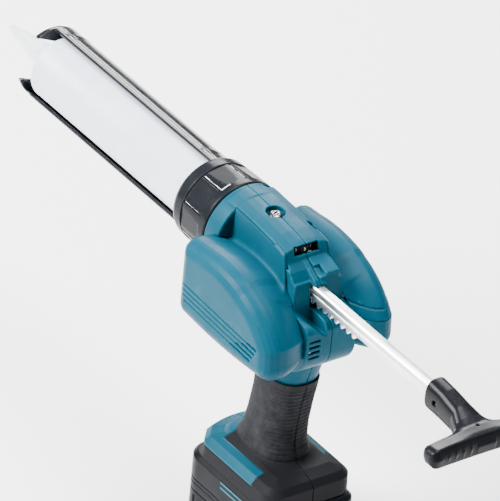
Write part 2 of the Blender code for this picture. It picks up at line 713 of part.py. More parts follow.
def build_drive(mat):
    pinion_at = (PINION_X, PINION_Z)
    motor_at = (MOTOR_X, MOTOR_Z)
    pivot = (PINION_X, 0.0, PINION_Z)
    motor_pivot = (MOTOR_X, 0.0, MOTOR_Z)

    half_turn = math.pi / PINION_TEETH
    teeth = gear_outline(PINION_TEETH, TOOTH_PITCH / math.pi, ADDENDUM, DEDENDUM, 1.0,
                         math.radians(90) + half_turn)
    pinion = join(prism(moved(teeth, *pinion_at), "Y", -5.0, 5.0), rod("Y", pinion_at, 4.0, -46.0, 16.5, 20))
    finish(pinion, "rack_pinion", mat["gear"], pivot)
    for name, low, high in (("pinion_bearing_left", 9.0, 15.0), ("pinion_bearing_right", -17.0, -11.0)):
        finish(tube("Y", pinion_at, 9.5, 4.3, low, high, 20), name, mat["steel"])
    drive = join(spur(DRIVE_TEETH, SPUR_MODULE, -43.0, -36.0, pinion_at, 0),
                 rod("Y", pinion_at, 7.5, -46.0, -34.0, 24))
    finish(cut(drive, rod("Y", pinion_at, 4.3, -50, -30, 20)), "drive_gear", mat["gear"], pivot)

    meshing = math.atan2(MOTOR_Z - PINION_Z, MOTOR_X - PINION_X)
    half_tooth = math.pi / OUTPUT_TEETH
    wheel_step = 2 * math.pi / DRIVE_TEETH
    offset = (meshing / wheel_step - round(meshing / wheel_step)) * wheel_step
    phase = meshing + math.pi + half_tooth + offset * DRIVE_TEETH / OUTPUT_TEETH
    output = join(spur(OUTPUT_TEETH, SPUR_MODULE, -43.5, -35.5, motor_at, 0, 0.3, phase),
                  rod("Y", motor_at, 3.0, -46.5, -30.0, 16), rod("Y", motor_at, 9.0, -32.0, -29.8, 24))
    finish(output, "output_gear", mat["gear"], motor_pivot)

    clutch = join(rod("Y", motor_at, 9.0, -29.0, -27.2, 24), rod("Y", motor_at, 3.0, -28.0, -18.6, 16))
    finish(clutch, "clutch_disc", mat["brass"], motor_pivot)
    carrier = join(rod("Y", motor_at, 12.6, 0.0, 3.0, 32), rod("Y", motor_at, 3.6, -18.0, 1.0, 16))
    planet_reach = PLANET_MODULE * (SUN_TEETH + PLANET_TEETH) / 2
    places = []
    for k in range(3):
        angle = math.radians(90 + 120 * k)
        places.append((MOTOR_X + planet_reach * math.cos(angle), MOTOR_Z + planet_reach * math.sin(angle)))
        join(carrier, rod("Y", places[-1], 1.6, 2.0, 11.0, 12))
    finish(carrier, "planet_carrier", mat["gear"], motor_pivot)
    ring_step = 2 * math.pi / RING_TEETH
    for k, place in enumerate(places):
        steps = 2 * math.pi / 3 * k / ring_step
        to_gap = (round(steps) - steps) * ring_step
        phase = math.radians(90 + 120 * k) + to_gap * RING_TEETH / PLANET_TEETH
        gear = spur(PLANET_TEETH, PLANET_MODULE, 4.0, 10.6, place, 1.9, 0.35, phase)
        finish(gear, f"planet_gear_{k + 1}", mat["gear"], (place[0], 0.0, place[1]))

    ring_teeth = gear_outline(RING_TEETH, PLANET_MODULE, 0.9, 0.45, -0.35, math.radians(90))
    ring = cut(rod("Y", motor_at, 16.0, 3.6, 11.0, 24), prism(moved(ring_teeth, *motor_at), "Y", 0, 20))
    finish(ring, "ring_gear", mat["gear"])
    case = turned_ring([(-24.0, 8.0), (-24.0, 14.0), (-22.0, 17.4), (12.6, 17.4), (12.6, 16.3), (-1.0, 16.3),
                        (-1.0, 13.5), (-16.0, 13.5), (-16.0, 4.2), (-24.0, 4.2)], "Y", motor_at, 24)
    finish(case, "gearbox_case", mat["gear"])

    can = turned_ring([(13.2, 4.5), (13.2, 16.0), (14.4, 17.6), (48.0, 17.6), (48.0, 15.8), (15.4, 15.8),
                       (15.4, 4.5)], "Y", motor_at, 24)
    finish(can, "motor_can", mat["steel"])
    cap = turned_ring([(48.4, 17.0), (50.4, 17.0), (53.0, 12.4), (53.0, 3.0), (50.6, 3.0), (50.6, 12.4),
                       (48.4, 15.4)], "Y", motor_at, 24)
    finish(cap, "motor_end_cap", mat["black"])
    armature = join(rod("Y", motor_at, 1.6, 3.8, 52.4, 16), rod("Y", motor_at, 12.5, 23.0, 41.0, 24),
                    rod("Y", motor_at, 6.0, 42.0, 47.5, 20))
    slots = []
    for k in range(6):
        angle = 2 * math.pi * k / 6
        centre = (MOTOR_X + 12.5 * math.cos(angle), MOTOR_Z + 12.5 * math.sin(angle))
        slots.append(rod("Y", centre, 2.4, 20, 41.6, 10))
    finish(cut(armature, *slots), "motor_armature", mat["copper"], motor_pivot)
    fan = rod("Y", motor_at, 6.0, 16.2, 21.0, 20)
    for k in range(8):
        blade = block((4.0, 14.6), (16.4, 20.8), (-0.6, 0.6))
        blade.data.transform(Matrix.Rotation(math.radians(45 * k), 4, "Y"))
        blade.data.transform(Matrix.Translation((MOTOR_X, 0, MOTOR_Z)))
        join(fan, blade)
    finish(cut(fan, rod("Y", motor_at, 1.9, 10, 30, 16)), "motor_fan", mat["black"], motor_pivot)
    sun = spur(SUN_TEETH, PLANET_MODULE, 4.2, 12.4, motor_at, 1.9, 0.35, math.radians(90 + 18))
    finish(sun, "sun_pinion", mat["brass"], motor_pivot)


# ---------------------------------------------------------------- controls

def build_controls(mat):
    trigger = prism(arc(-46.0, -66.0, 4.0, 60, 200, 6) + [(-50.5, -84.0), (-49.0, -94.5)]
                    + [(-44.5, -96.0), (-39.5, -92.0)] + arc(-26.0, -78.0, 11.5, 205, 140, 4)
                    + [(-35.5, -62.5)], "Y", -7.2, 7.2)
    trigger = rounded(trigger, 1.2, 2, 35)
    cut(trigger, rod("Y", TRIGGER_AT, 1.7, -20, 20, 16), block((-56.0, -47.0), (-3.0, 3.0), (-90.5, -79.5)))
    finish(trigger, "trigger", mat["black"], (TRIGGER_AT[0], 0.0, TRIGGER_AT[1]))
    finish(rod("Y", TRIGGER_AT, 1.4, -10.5, 10.5, 16), "trigger_pin", mat["steel"])
    switch = block((-74.0, -56.5), (-7.5, 7.5), (-96.0, -78.0), 0.8, 1)
    finish(switch, "trigger_switch", mat["black"])
    spring = turned_ring([(-56.2, 2.6), (-47.4, 2.6), (-47.4, 1.8), (-56.2, 1.8)], "X", (0.0, -85.0), 16)
    finish(spring, "trigger_spring", mat["steel"], (-56.2, 0.0, -85.0))
    button = turned([(-22.6, 3.6), (-21.8, 4.8), (21.8, 4.8), (22.6, 3.6)], "Y", BUTTON_AT, 24)
    finish(button, "lock_off_button", mat["black"], (BUTTON_AT[0], 0.0, BUTTON_AT[1]))
    wheel_at = (-62.5, 0.0)
    grip_edge = []
    for k in range(40):
        angle = 2 * math.pi * k / 40
        radius = 11.6 if k % 2 else 11.0
        grip_edge.append((wheel_at[0] + radius * math.cos(angle), wheel_at[1] + radius * math.sin(angle)))
    wheel = prism(grip_edge, "Z", 18.9, 24.6)
    finish(cut(wheel, rod("Z", wheel_at, 2.2, 10, 30, 16)), "speed_dial", mat["black"], (*wheel_at, 22.6))
    post = join(rod("Z", wheel_at, 1.8, 13.0, 25.2, 16), block((-72.0, -52.0), (-10.0, 10.0), (13.0, 14.6)))
    finish(post, "dial_board", mat["board"])
    board = block((-78.0, -46.0), (-12.0, 12.0), (-146.0, -144.4))
    finish(board, "control_board", mat["board"])


# ---------------------------------------------------------------- battery

def battery_section(z, shrink):
    half, corner = 37.5 - shrink, 10.0
    back, front = -115.0 + shrink, -5.0 - shrink
    outline = (arc(front - corner, half - corner, corner, 90, 0, 4)
               + arc(front - corner, -half + corner, corner, 0, -90, 4)
               + arc(back + corner, -half + corner, corner, -90, -180, 4)
               + arc(back + corner, half - corner, corner, 180, 90, 4))
    return [(u, v, z) for u, v in outline]


def build_battery(mat):
    split = -196.0
    low, top = BATTERY_BOTTOM, BATTERY_TOP - GAP
    lower = loft([battery_section(z, shrink) for z, shrink in
                  ((low, 3.5), (low + 1.5, 1.2), (low + 4.0, 0.0), (split - GAP, 0.0))])
    cut(lower, block((-110.0, -10.0), (-34.5, 34.5), (low + 2.6, split + 5), 2.0, 1))
    finish(lower, "battery_lower_case", mat["black"])
    upper = loft([battery_section(z, shrink) for z, shrink in
                  ((split, 0.0), (top - 5.0, 0.2), (top - 2.0, 1.4), (top, 4.5))])
    rails = block((-104.0, -26.0), (-24.0, 24.0), (top - 2.0, top + 7.0), 1.2, 1)
    join(upper, rails)
    cut(upper, block((-110.0, -10.0), (-34.5, 34.5), (split - 5.0, top - 3.0), 2.0, 1),
        block((-30.0, 0.0), (-13.3, 13.3), (top - LATCH_DEPTH - LATCH_TRAVEL - 0.6, top + 9.0)))
    for side in (1, -1):
        y = sorted((side * 30.0, side * 20.6))
        cut(upper, block((-110.0, -20.0), tuple(y), (top + 1.6, top + 4.2)))
        cut(upper, block((-100.0, -30.0), tuple(sorted((side * 9.0, side * 11.0))), (top + 2.0, top + 9.0)))
    finish(upper, "battery_upper_case", mat["black"])
    latch = block((-24.0, -5.4), (-13.0, 13.0), (top - LATCH_DEPTH, top), 1.5, 2)
    finish(latch, "battery_latch", mat["black"])
    terminal = block((-92.0, -42.0), (-22.0, 22.0), (-165.0, -161.8))
    finish(terminal, "terminal_block", mat["black"])
    for row, name in enumerate(("cell_block_lower", "cell_block_upper")):
        middle = BATTERY_BOTTOM + 13.6 + 20.4 * row
        cells = block((-106.0, -14.0), (-4.0, 4.0), (middle - 4.0, middle + 4.0))
        for k in range(5):
            join(cells, rod("Y", (-99.5 + 19.7 * k, middle), 9.2, -32.5, 32.5, 12))
        finish(cells, name, mat["cell"])


def main():
    for obj in list(bpy.data.objects):
        bpy.data.objects.remove(obj)
    mat = make_materials()
    build_casing(mat)
    build_collar(mat)
    build_holder(mat)
    build_cartridge(mat)
    build_rack(mat)
    build_drive(mat)
    build_controls(mat)
    build_battery(mat)


main()
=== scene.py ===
import json
import math

import bpy
import bmesh
import numpy as np
from mathutils import Matrix, Vector


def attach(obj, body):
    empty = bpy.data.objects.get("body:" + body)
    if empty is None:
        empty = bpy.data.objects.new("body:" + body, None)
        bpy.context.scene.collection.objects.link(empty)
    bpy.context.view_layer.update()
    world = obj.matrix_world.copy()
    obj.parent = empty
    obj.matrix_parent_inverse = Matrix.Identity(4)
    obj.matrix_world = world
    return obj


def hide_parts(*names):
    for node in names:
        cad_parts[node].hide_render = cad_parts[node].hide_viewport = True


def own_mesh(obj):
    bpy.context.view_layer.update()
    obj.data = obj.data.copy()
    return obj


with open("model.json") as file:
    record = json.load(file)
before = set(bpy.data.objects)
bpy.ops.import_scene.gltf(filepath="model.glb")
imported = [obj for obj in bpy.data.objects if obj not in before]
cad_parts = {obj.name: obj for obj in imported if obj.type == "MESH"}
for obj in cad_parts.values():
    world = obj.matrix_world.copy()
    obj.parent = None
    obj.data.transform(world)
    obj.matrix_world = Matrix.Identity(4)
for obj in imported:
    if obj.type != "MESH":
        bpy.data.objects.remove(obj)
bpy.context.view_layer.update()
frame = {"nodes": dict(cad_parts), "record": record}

MM = 0.001
RIM = Vector((60.0, 0.0, 232.0))       # the body's front rim, on the cartridge's axis, in mm
# Below, pieces are shaped in mm from RIM: x forward, y left, z up from the cartridge's axis.


# ------------------------------------------------------------------ solids from distance fields

CORNERS = np.array([(i, j, k) for i in (0, 1) for j in (0, 1) for k in (0, 1)])
CELL_EDGES = [(a, b) for a in range(8) for b in range(a + 1, 8)
              if np.abs(CORNERS[a] - CORNERS[b]).sum() == 1]


def sharpen(points, field, step):
    """Moves the points onto the field's surface, except at its edges."""
    nudge = 0.3 * step
    x, y, z = points.T
    value = field(x, y, z)
    slope = np.stack([field(x + nudge, y, z) - field(x - nudge, y, z),
                      field(x, y + nudge, z) - field(x, y - nudge, z),
                      field(x, y, z + nudge) - field(x, y, z - nudge)], 1) / (2 * nudge)
    steep = (slope ** 2).sum(1)
    move = np.where((steep > 0.6) & (steep < 2.0), value / np.maximum(steep, 0.5), 0.0)
    return points - slope * np.clip(move, -0.3 * step, 0.3 * step)[:, None]


def surface(field, low, high, step):
    """Points and quads of a field's zero surface inside a box, by surface nets."""
    axes = [np.arange(a - 2 * step, b + 2.5 * step, step) for a, b in zip(low, high)]
    shape = tuple(len(a) for a in axes)
    values = np.array(np.broadcast_to(field(axes[0][:, None, None], axes[1][None, :, None],
                                            axes[2][None, None, :]), shape), dtype=np.float32)
    for axis in range(3):
        edge = np.moveaxis(values, axis, 0)
        edge[0], edge[-1] = step, step
    inside = values < 0
    counts = sum(inside[i:shape[0] - 1 + i, j:shape[1] - 1 + j, k:shape[2] - 1 + k].astype(np.int8)
                 for i, j, k in CORNERS)
    active = (counts > 0) & (counts < 8)
    cells = np.argwhere(active)
    at = [values[cells[:, 0] + i, cells[:, 1] + j, cells[:, 2] + k] for i, j, k in CORNERS]
    total, hits = np.zeros((len(cells), 3)), np.zeros(len(cells))
    for a, b in CELL_EDGES:
        crossed = (at[a] < 0) != (at[b] < 0)
        share = np.where(crossed, at[a] / np.where(crossed, at[a] - at[b], 1.0), 0.0)
        place = CORNERS[a] + share[:, None] * (CORNERS[b] - CORNERS[a])
        total += np.where(crossed[:, None], place, 0.0)
        hits += crossed
    points = (cells + total / hits[:, None]) * step + np.array([a[0] for a in axes])
    points = sharpen(points, field, step)
    number = np.full(active.shape, -1, np.int64)
    number[active] = np.arange(len(cells))
    quads = []
    for axis in range(3):
        b, c = (axis + 1) % 3, (axis + 2) % 3
        near, far = [slice(None)] * 3, [slice(None)] * 3
        near[axis], far[axis] = slice(0, -1), slice(1, None)
        for outward in (True, False):
            first, second = inside[tuple(near)], inside[tuple(far)]
            change = (first & ~second) if outward else (~first & second)
            where = np.argwhere(change)
            loop = []
            for db, dc in ((-1, -1), (0, -1), (0, 0), (-1, 0)):
                cell = where.copy()
                cell[:, b] += db
                cell[:, c] += dc
                loop.append(number[cell[:, 0], cell[:, 1], cell[:, 2]])
            quads.append(np.stack(loop if outward else loop[::-1], 1))
    return points, np.concatenate(quads)


def new_piece(name, points, faces, smooth_angle=None):
    """A mesh object in metres from points in mm."""
    mesh = bpy.data.meshes.new(name)
    mesh.from_pydata(((np.asarray(points) + np.array(RIM)) * MM).tolist(), [],
                     faces.tolist() if hasattr(faces, "tolist") else faces)
    mesh.update()
    obj = bpy.data.objects.new(name, mesh)
    bpy.context.scene.collection.objects.link(obj)
    mesh.shade_smooth()
    if smooth_angle:
        mesh.set_sharp_from_angle(angle=math.radians(smooth_angle))
    return obj


def apply_modifiers(obj):
    depsgraph = bpy.context.evaluated_depsgraph_get()
    mesh = bpy.data.meshes.new_from_object(obj.evaluated_get(depsgraph))
    obj.modifiers.clear()
    old = obj.data
    obj.data = mesh
    bpy.data.meshes.remove(old)
    return obj


def solid(name, field, low, high, step, keep):
    """A piece from a distance field, with its flat parts thinned out."""
    points, quads = surface(field, low, high, step)
    obj = new_piece(name, points, quads)
    thin = obj.modifiers.new("Thin", "DECIMATE")
    thin.ratio = keep
    even = obj.modifiers.new("Even", "WEIGHTED_NORMAL")
    even.weight = 80
    return apply_modifiers(obj)


# ------------------------------------------------------------------ distance fields

def poly(u, v, points):
    """Signed distance to a polygon in a plane, negative inside."""
    nearest, sign = 1e9, 1.0
    for (ax, ay), (bx, by) in zip(points, points[1:] + points[:1]):
        ex, ey = bx - ax, by - ay
        wx, wy = u - ax, v - ay
        share = np.clip((wx * ex + wy * ey) / (ex * ex + ey * ey), 0.0, 1.0)
        nearest = np.minimum(nearest, (wx - ex * share) ** 2 + (wy - ey * share) ** 2)
        above, below, left = v >= ay, v < by, ex * wy > ey * wx
        sign = np.where((above & below & left) | (~above & ~below & ~left), -sign, sign)
    return sign * np.sqrt(nearest)


def both(a, b, blend=0.0):
    """The overlap of two fields, with a rounded edge."""
    if not blend:
        return np.maximum(a, b)
    h = np.maximum(blend - np.abs(a - b), 0.0) / blend
    return np.maximum(a, b) + h * h * blend / 4


def either(a, b, blend=0.0):
    """Two fields joined, with a fillet."""
    if not blend:
        return np.minimum(a, b)
    h = np.maximum(blend - np.abs(a - b), 0.0) / blend
    return np.minimum(a, b) - h * h * blend / 4


def without(a, b, blend=0.0):
    return both(a, -b, blend)


def span(value, low, high):
    """Distance from a slab between two heights."""
    return np.maximum(low - value, value - high)


def brick(x, y, z, xs, ys, zs, radius=0.0):
    sides = ((x, xs), (y, ys), (z, zs))
    q = [np.abs(v - (a + b) / 2) - (b - a) / 2 + radius for v, (a, b) in sides]
    outside = np.sqrt(sum(np.maximum(v, 0.0) ** 2 for v in q))
    return outside + np.minimum(np.maximum(np.maximum(q[0], q[1]), q[2]), 0.0) - radius


def extrude(flat, along, radius):
    """A flat field given thickness, where along is negative within it, with rounded edges."""
    a, b = flat + radius, along + radius
    outside = np.sqrt(np.maximum(a, 0.0) ** 2 + np.maximum(b, 0.0) ** 2)
    return np.minimum(np.maximum(a, b), 0.0) + outside - radius


def round_rod(u, v, along, radius, low, high, edge=0.3):
    return extrude(np.sqrt(u * u + v * v) - radius, span(along, low, high), edge)


def arc(cx, cy, radius, start, end, steps):
    points = []
    for i in range(steps + 1):
        angle = math.radians(start + (end - start) * i / steps)
        points.append((cx + radius * math.cos(angle), cy + radius * math.sin(angle)))
    return points


# ------------------------------------------------------------------ body

WALL = 2.4
SEAM = 0.22                            # from the middle plane to each casing half
SLEEVE = 1.6                           # thickness of the grip's rubber
RING_R = 34.6                          # the covers keep out of this radius round the front ring
SCREW_X = -37.0
MOTOR = (-29.9, -32.0)                 # x and z of each axis across the gun
PINION = (-58.0, -18.3)
BUTTON = (-66.0, -70.0)
GRIP_SCREW = (-64.0, -112.0)
REACH = {1: 59.0, -1: 54.0}            # how far out each drum's flat face is, by side
NOTHING = -9.0                         # deep inside: where a field is this, it cuts nothing away

DRUM = (arc(-15.0, 1.0, 9.5, 0, 75, 10) + arc(-46.0, -107.0, 120.0, 80, 104, 16)
        + arc(-60.0, -60.0, 70.0, 107, 148, 22) + arc(-107.5, -38.5, 13.0, 168, 262, 18)
        + arc(-60.0, 350.0, 404.0, 265, 275, 8) + arc(-17.0, -40.5, 11.5, 285, 355, 12))
CORE = ([(-7.0, 6.5), (-94.4, 6.5), (-95.6, -13.0)] + arc(-106.5, -23.0, 8.0, 95, 170, 6)
        + arc(-92.0, -38.0, 22.6, 178, 262, 10) + [(-84.0, -64.0), (-46.0, -64.0)]
        + arc(-34.0, -36.0, 27.0, 265, 315, 6) + [(-5.0, -36.0)])
TOP_X = (-80.0, -76.5, -71.0, -60.0, -37.0, -14.0, 0.0)
TOP_Z = (26.2, 27.0, 28.4, 30.2, 32.4, 33.4, 33.4)


def ridge(x, y, z):
    """The crowned top over the rack, falling to a slanted back where the dial sits."""
    level = z - np.interp(x, TOP_X, TOP_Z)
    section = poly(np.abs(y), level, [(-8.0, -40.0), (21.0, -40.0), (20.6, -26.0), (18.9, -4.6),
                                      (17.3, -3.1), (11.0, -1.6), (4.7, -0.8), (-8.0, -0.7)]) - 0.7
    back = -(x + 76.2 - 0.3 * (z - 23.0))
    return both(section, np.maximum(back, x + 6.0), 1.0)


def drum(x, y, z, side):
    """A drum with a flat face, a crease, and a shoulder; it narrows again towards the body."""
    out, reach = side * y, REACH[side]
    over = np.clip((z + 25.0) / 15.0, 0.0, 1.0)
    behind = np.clip((-84.0 - x) / 10.0, 0.0, 1.0) * np.clip((z + 60.0) / 12.0, 0.0, 1.0)
    root = np.clip((43.0 - out) / 21.0, 0.0, 1.0)
    edge = poly(x, z, DRUM) + 8.5 * root ** 1.6 * np.maximum(over * 0.8, behind)
    profile = [(-60.0, 17.0), (-1.2, 17.0), (-1.2, reach - 11.5), (-1.9, reach - 8.6),
               (-3.6, reach - 5.6), (-6.2, reach - 3.2), (-10.0, reach - 1.5), (-11.6, reach - 1.2),
               (-60.0, reach - 1.2)]
    return poly(edge, out, profile) - 1.2


def split_y(x, z):
    """How far out the side cover begins."""
    base = np.interp(z, (-14.0, 4.0), (22.2, 18.9))
    jog = np.where((x < -64.5) & (z > 14.0), -1.6, 0.0)
    return base + jog


def cover_body(x, y, z, side):
    return either(drum(x, y, z, side), ridge(x, y, z), 5.0)


def cover_zone(x, y, z, side):
    """Negative where the side cover is, and not the housing."""
    out = side * y
    past_split = split_y(x, z) - out
    panel = np.maximum(x + 16.3, past_split)
    outer = np.maximum(np.maximum(30.0 - out, z - 14.0), past_split)
    return np.minimum(panel, outer)


def side_cover(side):
    def field(x, y, z):
        body = cover_body(x, y, z, side)
        shell = np.maximum(body, -(body + WALL))
        piece = both(shell, cover_zone(x, y, z, side) + 0.15, 0.5)
        out = side * y
        reach = REACH[side]
        ring_place = np.maximum(np.sqrt(y * y + z * z) - RING_R, -16.2 - x)
        piece = without(piece, ring_place + np.where(out > 31.0, 40.0, 0.0))
        if side > 0:
            for row in range(4):
                level = -25.0 - 4.1 * row + 0.045 * (x + 60.0)
                groove = span(x, -106.5 + 2.2 * row, -12.0 - 2.0 * row)
                vent = span(x, -105.5 + 2.2 * row, -94.0 + 6.5 * row)
                for along, depth, half in ((groove, 1.3, 0.75), (vent, 7.0, 1.05)):
                    slot = np.maximum(along, reach - depth - out)
                    slot = np.maximum(slot, np.abs(z - level) - half)
                    piece = without(piece, slot, 0.3)
        else:
            for level in (-13.0, -19.0):
                line = level + 0.28 * (x + 100.0)
                groove = np.maximum(x + 90.0, np.abs(z - line) - 0.5)
                piece = without(piece, np.maximum(groove, -(body + 0.8)), 0.3)
        return piece

    low_y, high_y = sorted((side * 16.5, side * (REACH[side] + 1.0)))
    name = "drum_cover_left" if side > 0 else "drum_cover_right"
    return solid(name, field, (-121.5, low_y, -55.5), (-4.5, high_y, 34.0), 0.6, 0.4)


GRIP_Z = (-154.0, -148.0, -138.0, -122.0, -100.0, -80.0, -64.0, -52.0)
GRIP_BACK = (-94.0, -87.0, -83.0, -83.5, -87.0, -91.5, -96.0, -99.0)
GRIP_FRONT = (-25.0, -31.0, -37.0, -41.0, -45.0, -46.0, -43.0, -40.0)
GRIP_HALF = (23.5, 20.0, 17.6, 17.0, 17.0, 17.6, 19.5, 20.5)


def grip(x, y, z, grow=0.0):
    back, front, half = (np.interp(z, GRIP_Z, v) for v in (GRIP_BACK, GRIP_FRONT, GRIP_HALF))
    middle, reach = (back + front) / 2, (front - back) / 2 + grow
    half = half + grow
    ratio = ((np.abs(x - middle) / reach) ** 2.6 + (np.abs(y) / half) ** 2.6) ** (1 / 2.6)
    return np.maximum((ratio - 1.0) * np.minimum(reach, half), span(z, -154.0, -52.0))


FOOT = (arc(-30.0, 25.5, 11.0, 90, 50, 4) + arc(-70.0, 0.0, 62.0, 24, -24, 12)
        + arc(-30.0, -25.5, 11.0, -50, -90, 4) + arc(-99.0, -23.5, 13.0, -90, -180, 6)
        + arc(-99.0, 23.5, 13.0, 180, 90, 6))


def foot(x, y, z):
    edge = poly(x, y, FOOT)
    return poly(edge, z, [(-80.0, -171.7), (-0.6, -171.7), (-0.9, -158.6), (-4.9, -154.2),
                          (-14.0, -151.2), (-80.0, -150.2)]) - 0.5


def boss(x, y, z):
    """The steps behind the dial, over the rack's way out."""
    rib_top = np.interp(x, (-96.5, -94.0, -78.0), (5.6, 8.2, 17.2))
    rib = both(extrude(np.abs(y) - 4.8, z - rib_top, 0.5), span(x, -96.4, -70.0), 0.5)
    right_top = np.interp(x, (-95.0, -77.0), (12.2, 17.4))
    right = both(extrude(span(y, -16.6, -0.5), z - right_top, 0.5), span(x, -94.4, -70.0), 0.5)
    right = without(right, brick(x, y, z, (-97.0, -85.5), (-5.4, 6.0), (10.0, 30.0), 0.3), 0.4)
    left_top = np.interp(x, (-93.0, -84.0, -76.0), (2.0, 12.6, 18.4))
    left = both(extrude(span(y, 0.0, 20.0), z - left_top, 0.8), span(x, -93.0, -70.0), 1.5)
    return both(either(rib, either(right, left, 0.5), 0.5), -16.0 - z, 1.0)


def rubber_zone(x, y, z):
    """Negative where the foot is in rubber: its back, its sides and round the grip's root."""
    root = np.maximum(np.maximum(np.abs(y) - 26.0, x + 36.0), -156.0 - z)
    return np.minimum(np.maximum(np.minimum(x + 86.0, root), z + 146.0), z + 160.9)


def housing_body(x, y, z):
    around = np.sqrt(y * y + z * z)
    ring = poly(x, around, [(-14.4, -5.0), (-14.4, 29.0), (-15.2, 32.0), (-14.6, 32.9), (-1.4, 33.0),
                            (-0.8, 32.2), (-0.8, -5.0)]) - 0.7
    top = either(ridge(x, y, z), ring, 1.2)
    middle = extrude(poly(x, z, CORE), np.abs(y) - split_y(x, z) + 0.4, 1.2)
    upper = either(either(top, middle, 1.5), boss(x, y, z), 0.8)
    lower = either(grip(x, y, z), foot(x, y, z), 7.0)
    whole = either(upper, lower, 4.0)
    sill = -13.0 - 0.85 * np.clip(20.5 - y, 0.0, 15.0)
    hollow = both(both(x + 91.2 + 0.12 * (5.0 - z), 5.0 - y, 1.0), both(y - 20.5, sill - z, 1.0), 3.0)
    return without(whole, hollow, 1.0)


def housing(side):
    def field(x, y, z):
        body = housing_body(x, y, z)
        shell = np.maximum(body, -(body + WALL))
        shell = either(shell, round_rod(x - SCREW_X, y, z, 9.0, 25.6, 30.0))
        outside = -np.minimum(cover_zone(x, y, z, 1), cover_zone(x, y, z, -1))
        outside = np.where((x > -15.9) & (np.abs(y) < 36.0) & (z > -30.0), -5.0, outside)
        piece = both(shell, np.where(z > -60.0, outside + 0.15, -5.0), 0.5)
        piece = without(piece, np.maximum(drum(x, y, z, side) - 0.3, split_y(x, z) - side * y))
        around = np.sqrt(y * y + z * z)
        cuts = [np.maximum(around - 27.0, -12.6 - x), np.maximum(around - 30.7, -3.3 - x),
                brick(x, y, z, (-130.0, -60.0), (-5.4, 5.4), (-14.5, 4.0), 0.4),
                brick(x, y, z, (-90.0, -71.5), (-10.4, 10.4), (19.7, 26.4), 0.5),
                brick(x, y, z, (-63.0, -53.2), (-18.7, -15.4), (25.2, 40.0), 0.4),
                brick(x, y, z, (-52.0, -24.0), (-8.2, 8.2), (-99.0, -56.0), 0.8),
                brick(x, y, z, (-20.0, 0.0), (-24.6, 24.6), (-180.0, -165.3), 0.4),
                brick(x, y, z, (-8.0, -2.0), (-19.8, -12.6), (24.0, 34.0), 0.3),
                round_rod(x - SCREW_X, y, z, 7.1, 28.2, 60.0, 0.4),
                round_rod(x - MOTOR[0], z - MOTOR[1], y, 18.4, -40.0, 40.0),
                round_rod(x - PINION[0], z - PINION[1], y, 26.0, -40.0, -10.0),
                round_rod(x - BUTTON[0], z - BUTTON[1], y, 5.4, -40.0, 40.0)]
        for row in range(4):
            vent = (-28.6 - 4.4 * row, -27.0 - 4.4 * row)
            cuts.append(brick(x, y, z, (-130.0, -98.0), (9.4, 18.8), vent, 0.3))
        for tool in cuts:
            piece = without(piece, tool, 0.35)
        line = np.maximum(np.abs(rubber_zone(x, y, z)) - 0.35, np.maximum(z + 147.0, -(body + 0.5)))
        piece = without(piece, line, 0.2)
        return both(piece, SEAM - side * y, 0.3)

    ys = (0.0, 37.0) if side > 0 else (-37.0, 0.0)
    name = "casing_left" if side > 0 else "casing_right"
    return solid(name, field, (-115.5, ys[0], -172.5), (0.5, ys[1], 35.0), 0.65, 0.4)


def grip_sleeve(side):
    """Rubber over the grip, with fine ribs at its back."""
    def field(x, y, z):
        ribs = 0.25 * np.sin((z + 100.0) * 2 * np.pi / 3.4) * np.clip((-74.0 - x) / 4.0, 0.0, 1.0)
        ribs = ribs * np.clip((z + 146.0) / 4.0, 0, 1) * np.clip((-84.0 - z) / 4.0, 0, 1)
        outer = grip(x, y, z, SLEEVE) + ribs
        piece = both(without(outer, grip(x, y, z, 0.25)), span(z, -147.5, -80.5), 0.8)
        piece = without(piece, brick(x, y, z, (-52.0, -24.0), (-8.2, 8.2), (-99.0, -56.0), 0.8), 0.4)
        screw = round_rod(x - GRIP_SCREW[0], z - GRIP_SCREW[1], y, 3.6, -60.0, 0.0)
        piece = without(piece, screw, 0.3)
        return both(piece, 0.3 - side * y, 0.4)

    ys = (0.0, 21.0) if side > 0 else (-21.0, 0.0)
    name = "grip_rubber_left" if side > 0 else "grip_rubber_right"
    return solid(name, field, (-96.0, ys[0], -148.5), (-28.0, ys[1], -79.5), 0.6, 0.5)


# ------------------------------------------------------------------ meshes made point by point

def lathe(name, profile, count, smooth_angle):
    """A turned piece about the cartridge's axis from (x, radius) stations."""
    points, faces = [], []
    for x, radius in profile:
        for i in range(count):
            angle = 2 * math.pi * i / count
            points.append((x, radius * math.cos(angle), radius * math.sin(angle)))
    rows = len(profile)
    for k in range(rows):
        for i in range(count):
            j = (i + 1) % count
            a, b = k * count, ((k + 1) % rows) * count
            faces.append((a + i, b + i, b + j, a + j))
    return outward(new_piece(name, points, faces, smooth_angle))


def outward(obj):
    bm = bmesh.new()
    bm.from_mesh(obj.data)
    bmesh.ops.recalc_face_normals(bm, faces=bm.faces)
    bm.to_mesh(obj.data)
    bm.free()
    return obj


def row_faces(rows, count):
    """Quads between rows of points that each close on themselves, and both ends capped."""
    faces = []
    for k in range(rows - 1):
        for i in range(count):
            j = (i + 1) % count
            faces.append((k * count + i, k * count + j, (k + 1) * count + j, (k + 1) * count + i))
    return faces + [tuple(range(count)), tuple(range((rows - 1) * count, rows * count))]


def bevelled(obj, width, segments, angle):
    bevel = obj.modifiers.new("Bevel", "BEVEL")
    bevel.width = width * MM
    bevel.segments = segments
    bevel.limit_method = "ANGLE"
    bevel.angle_limit = math.radians(angle)
    bevel.harden_normals = False
    apply_modifiers(obj)
    obj.data.shade_smooth()
    obj.data.set_sharp_from_angle(angle=math.radians(50))
    return obj


# ------------------------------------------------------------------ front pieces

OPEN_AT, HALF_OPEN = math.radians(21.0), math.radians(70.0)
SHEET_R = 27.85                        # middle of the holder's sheet


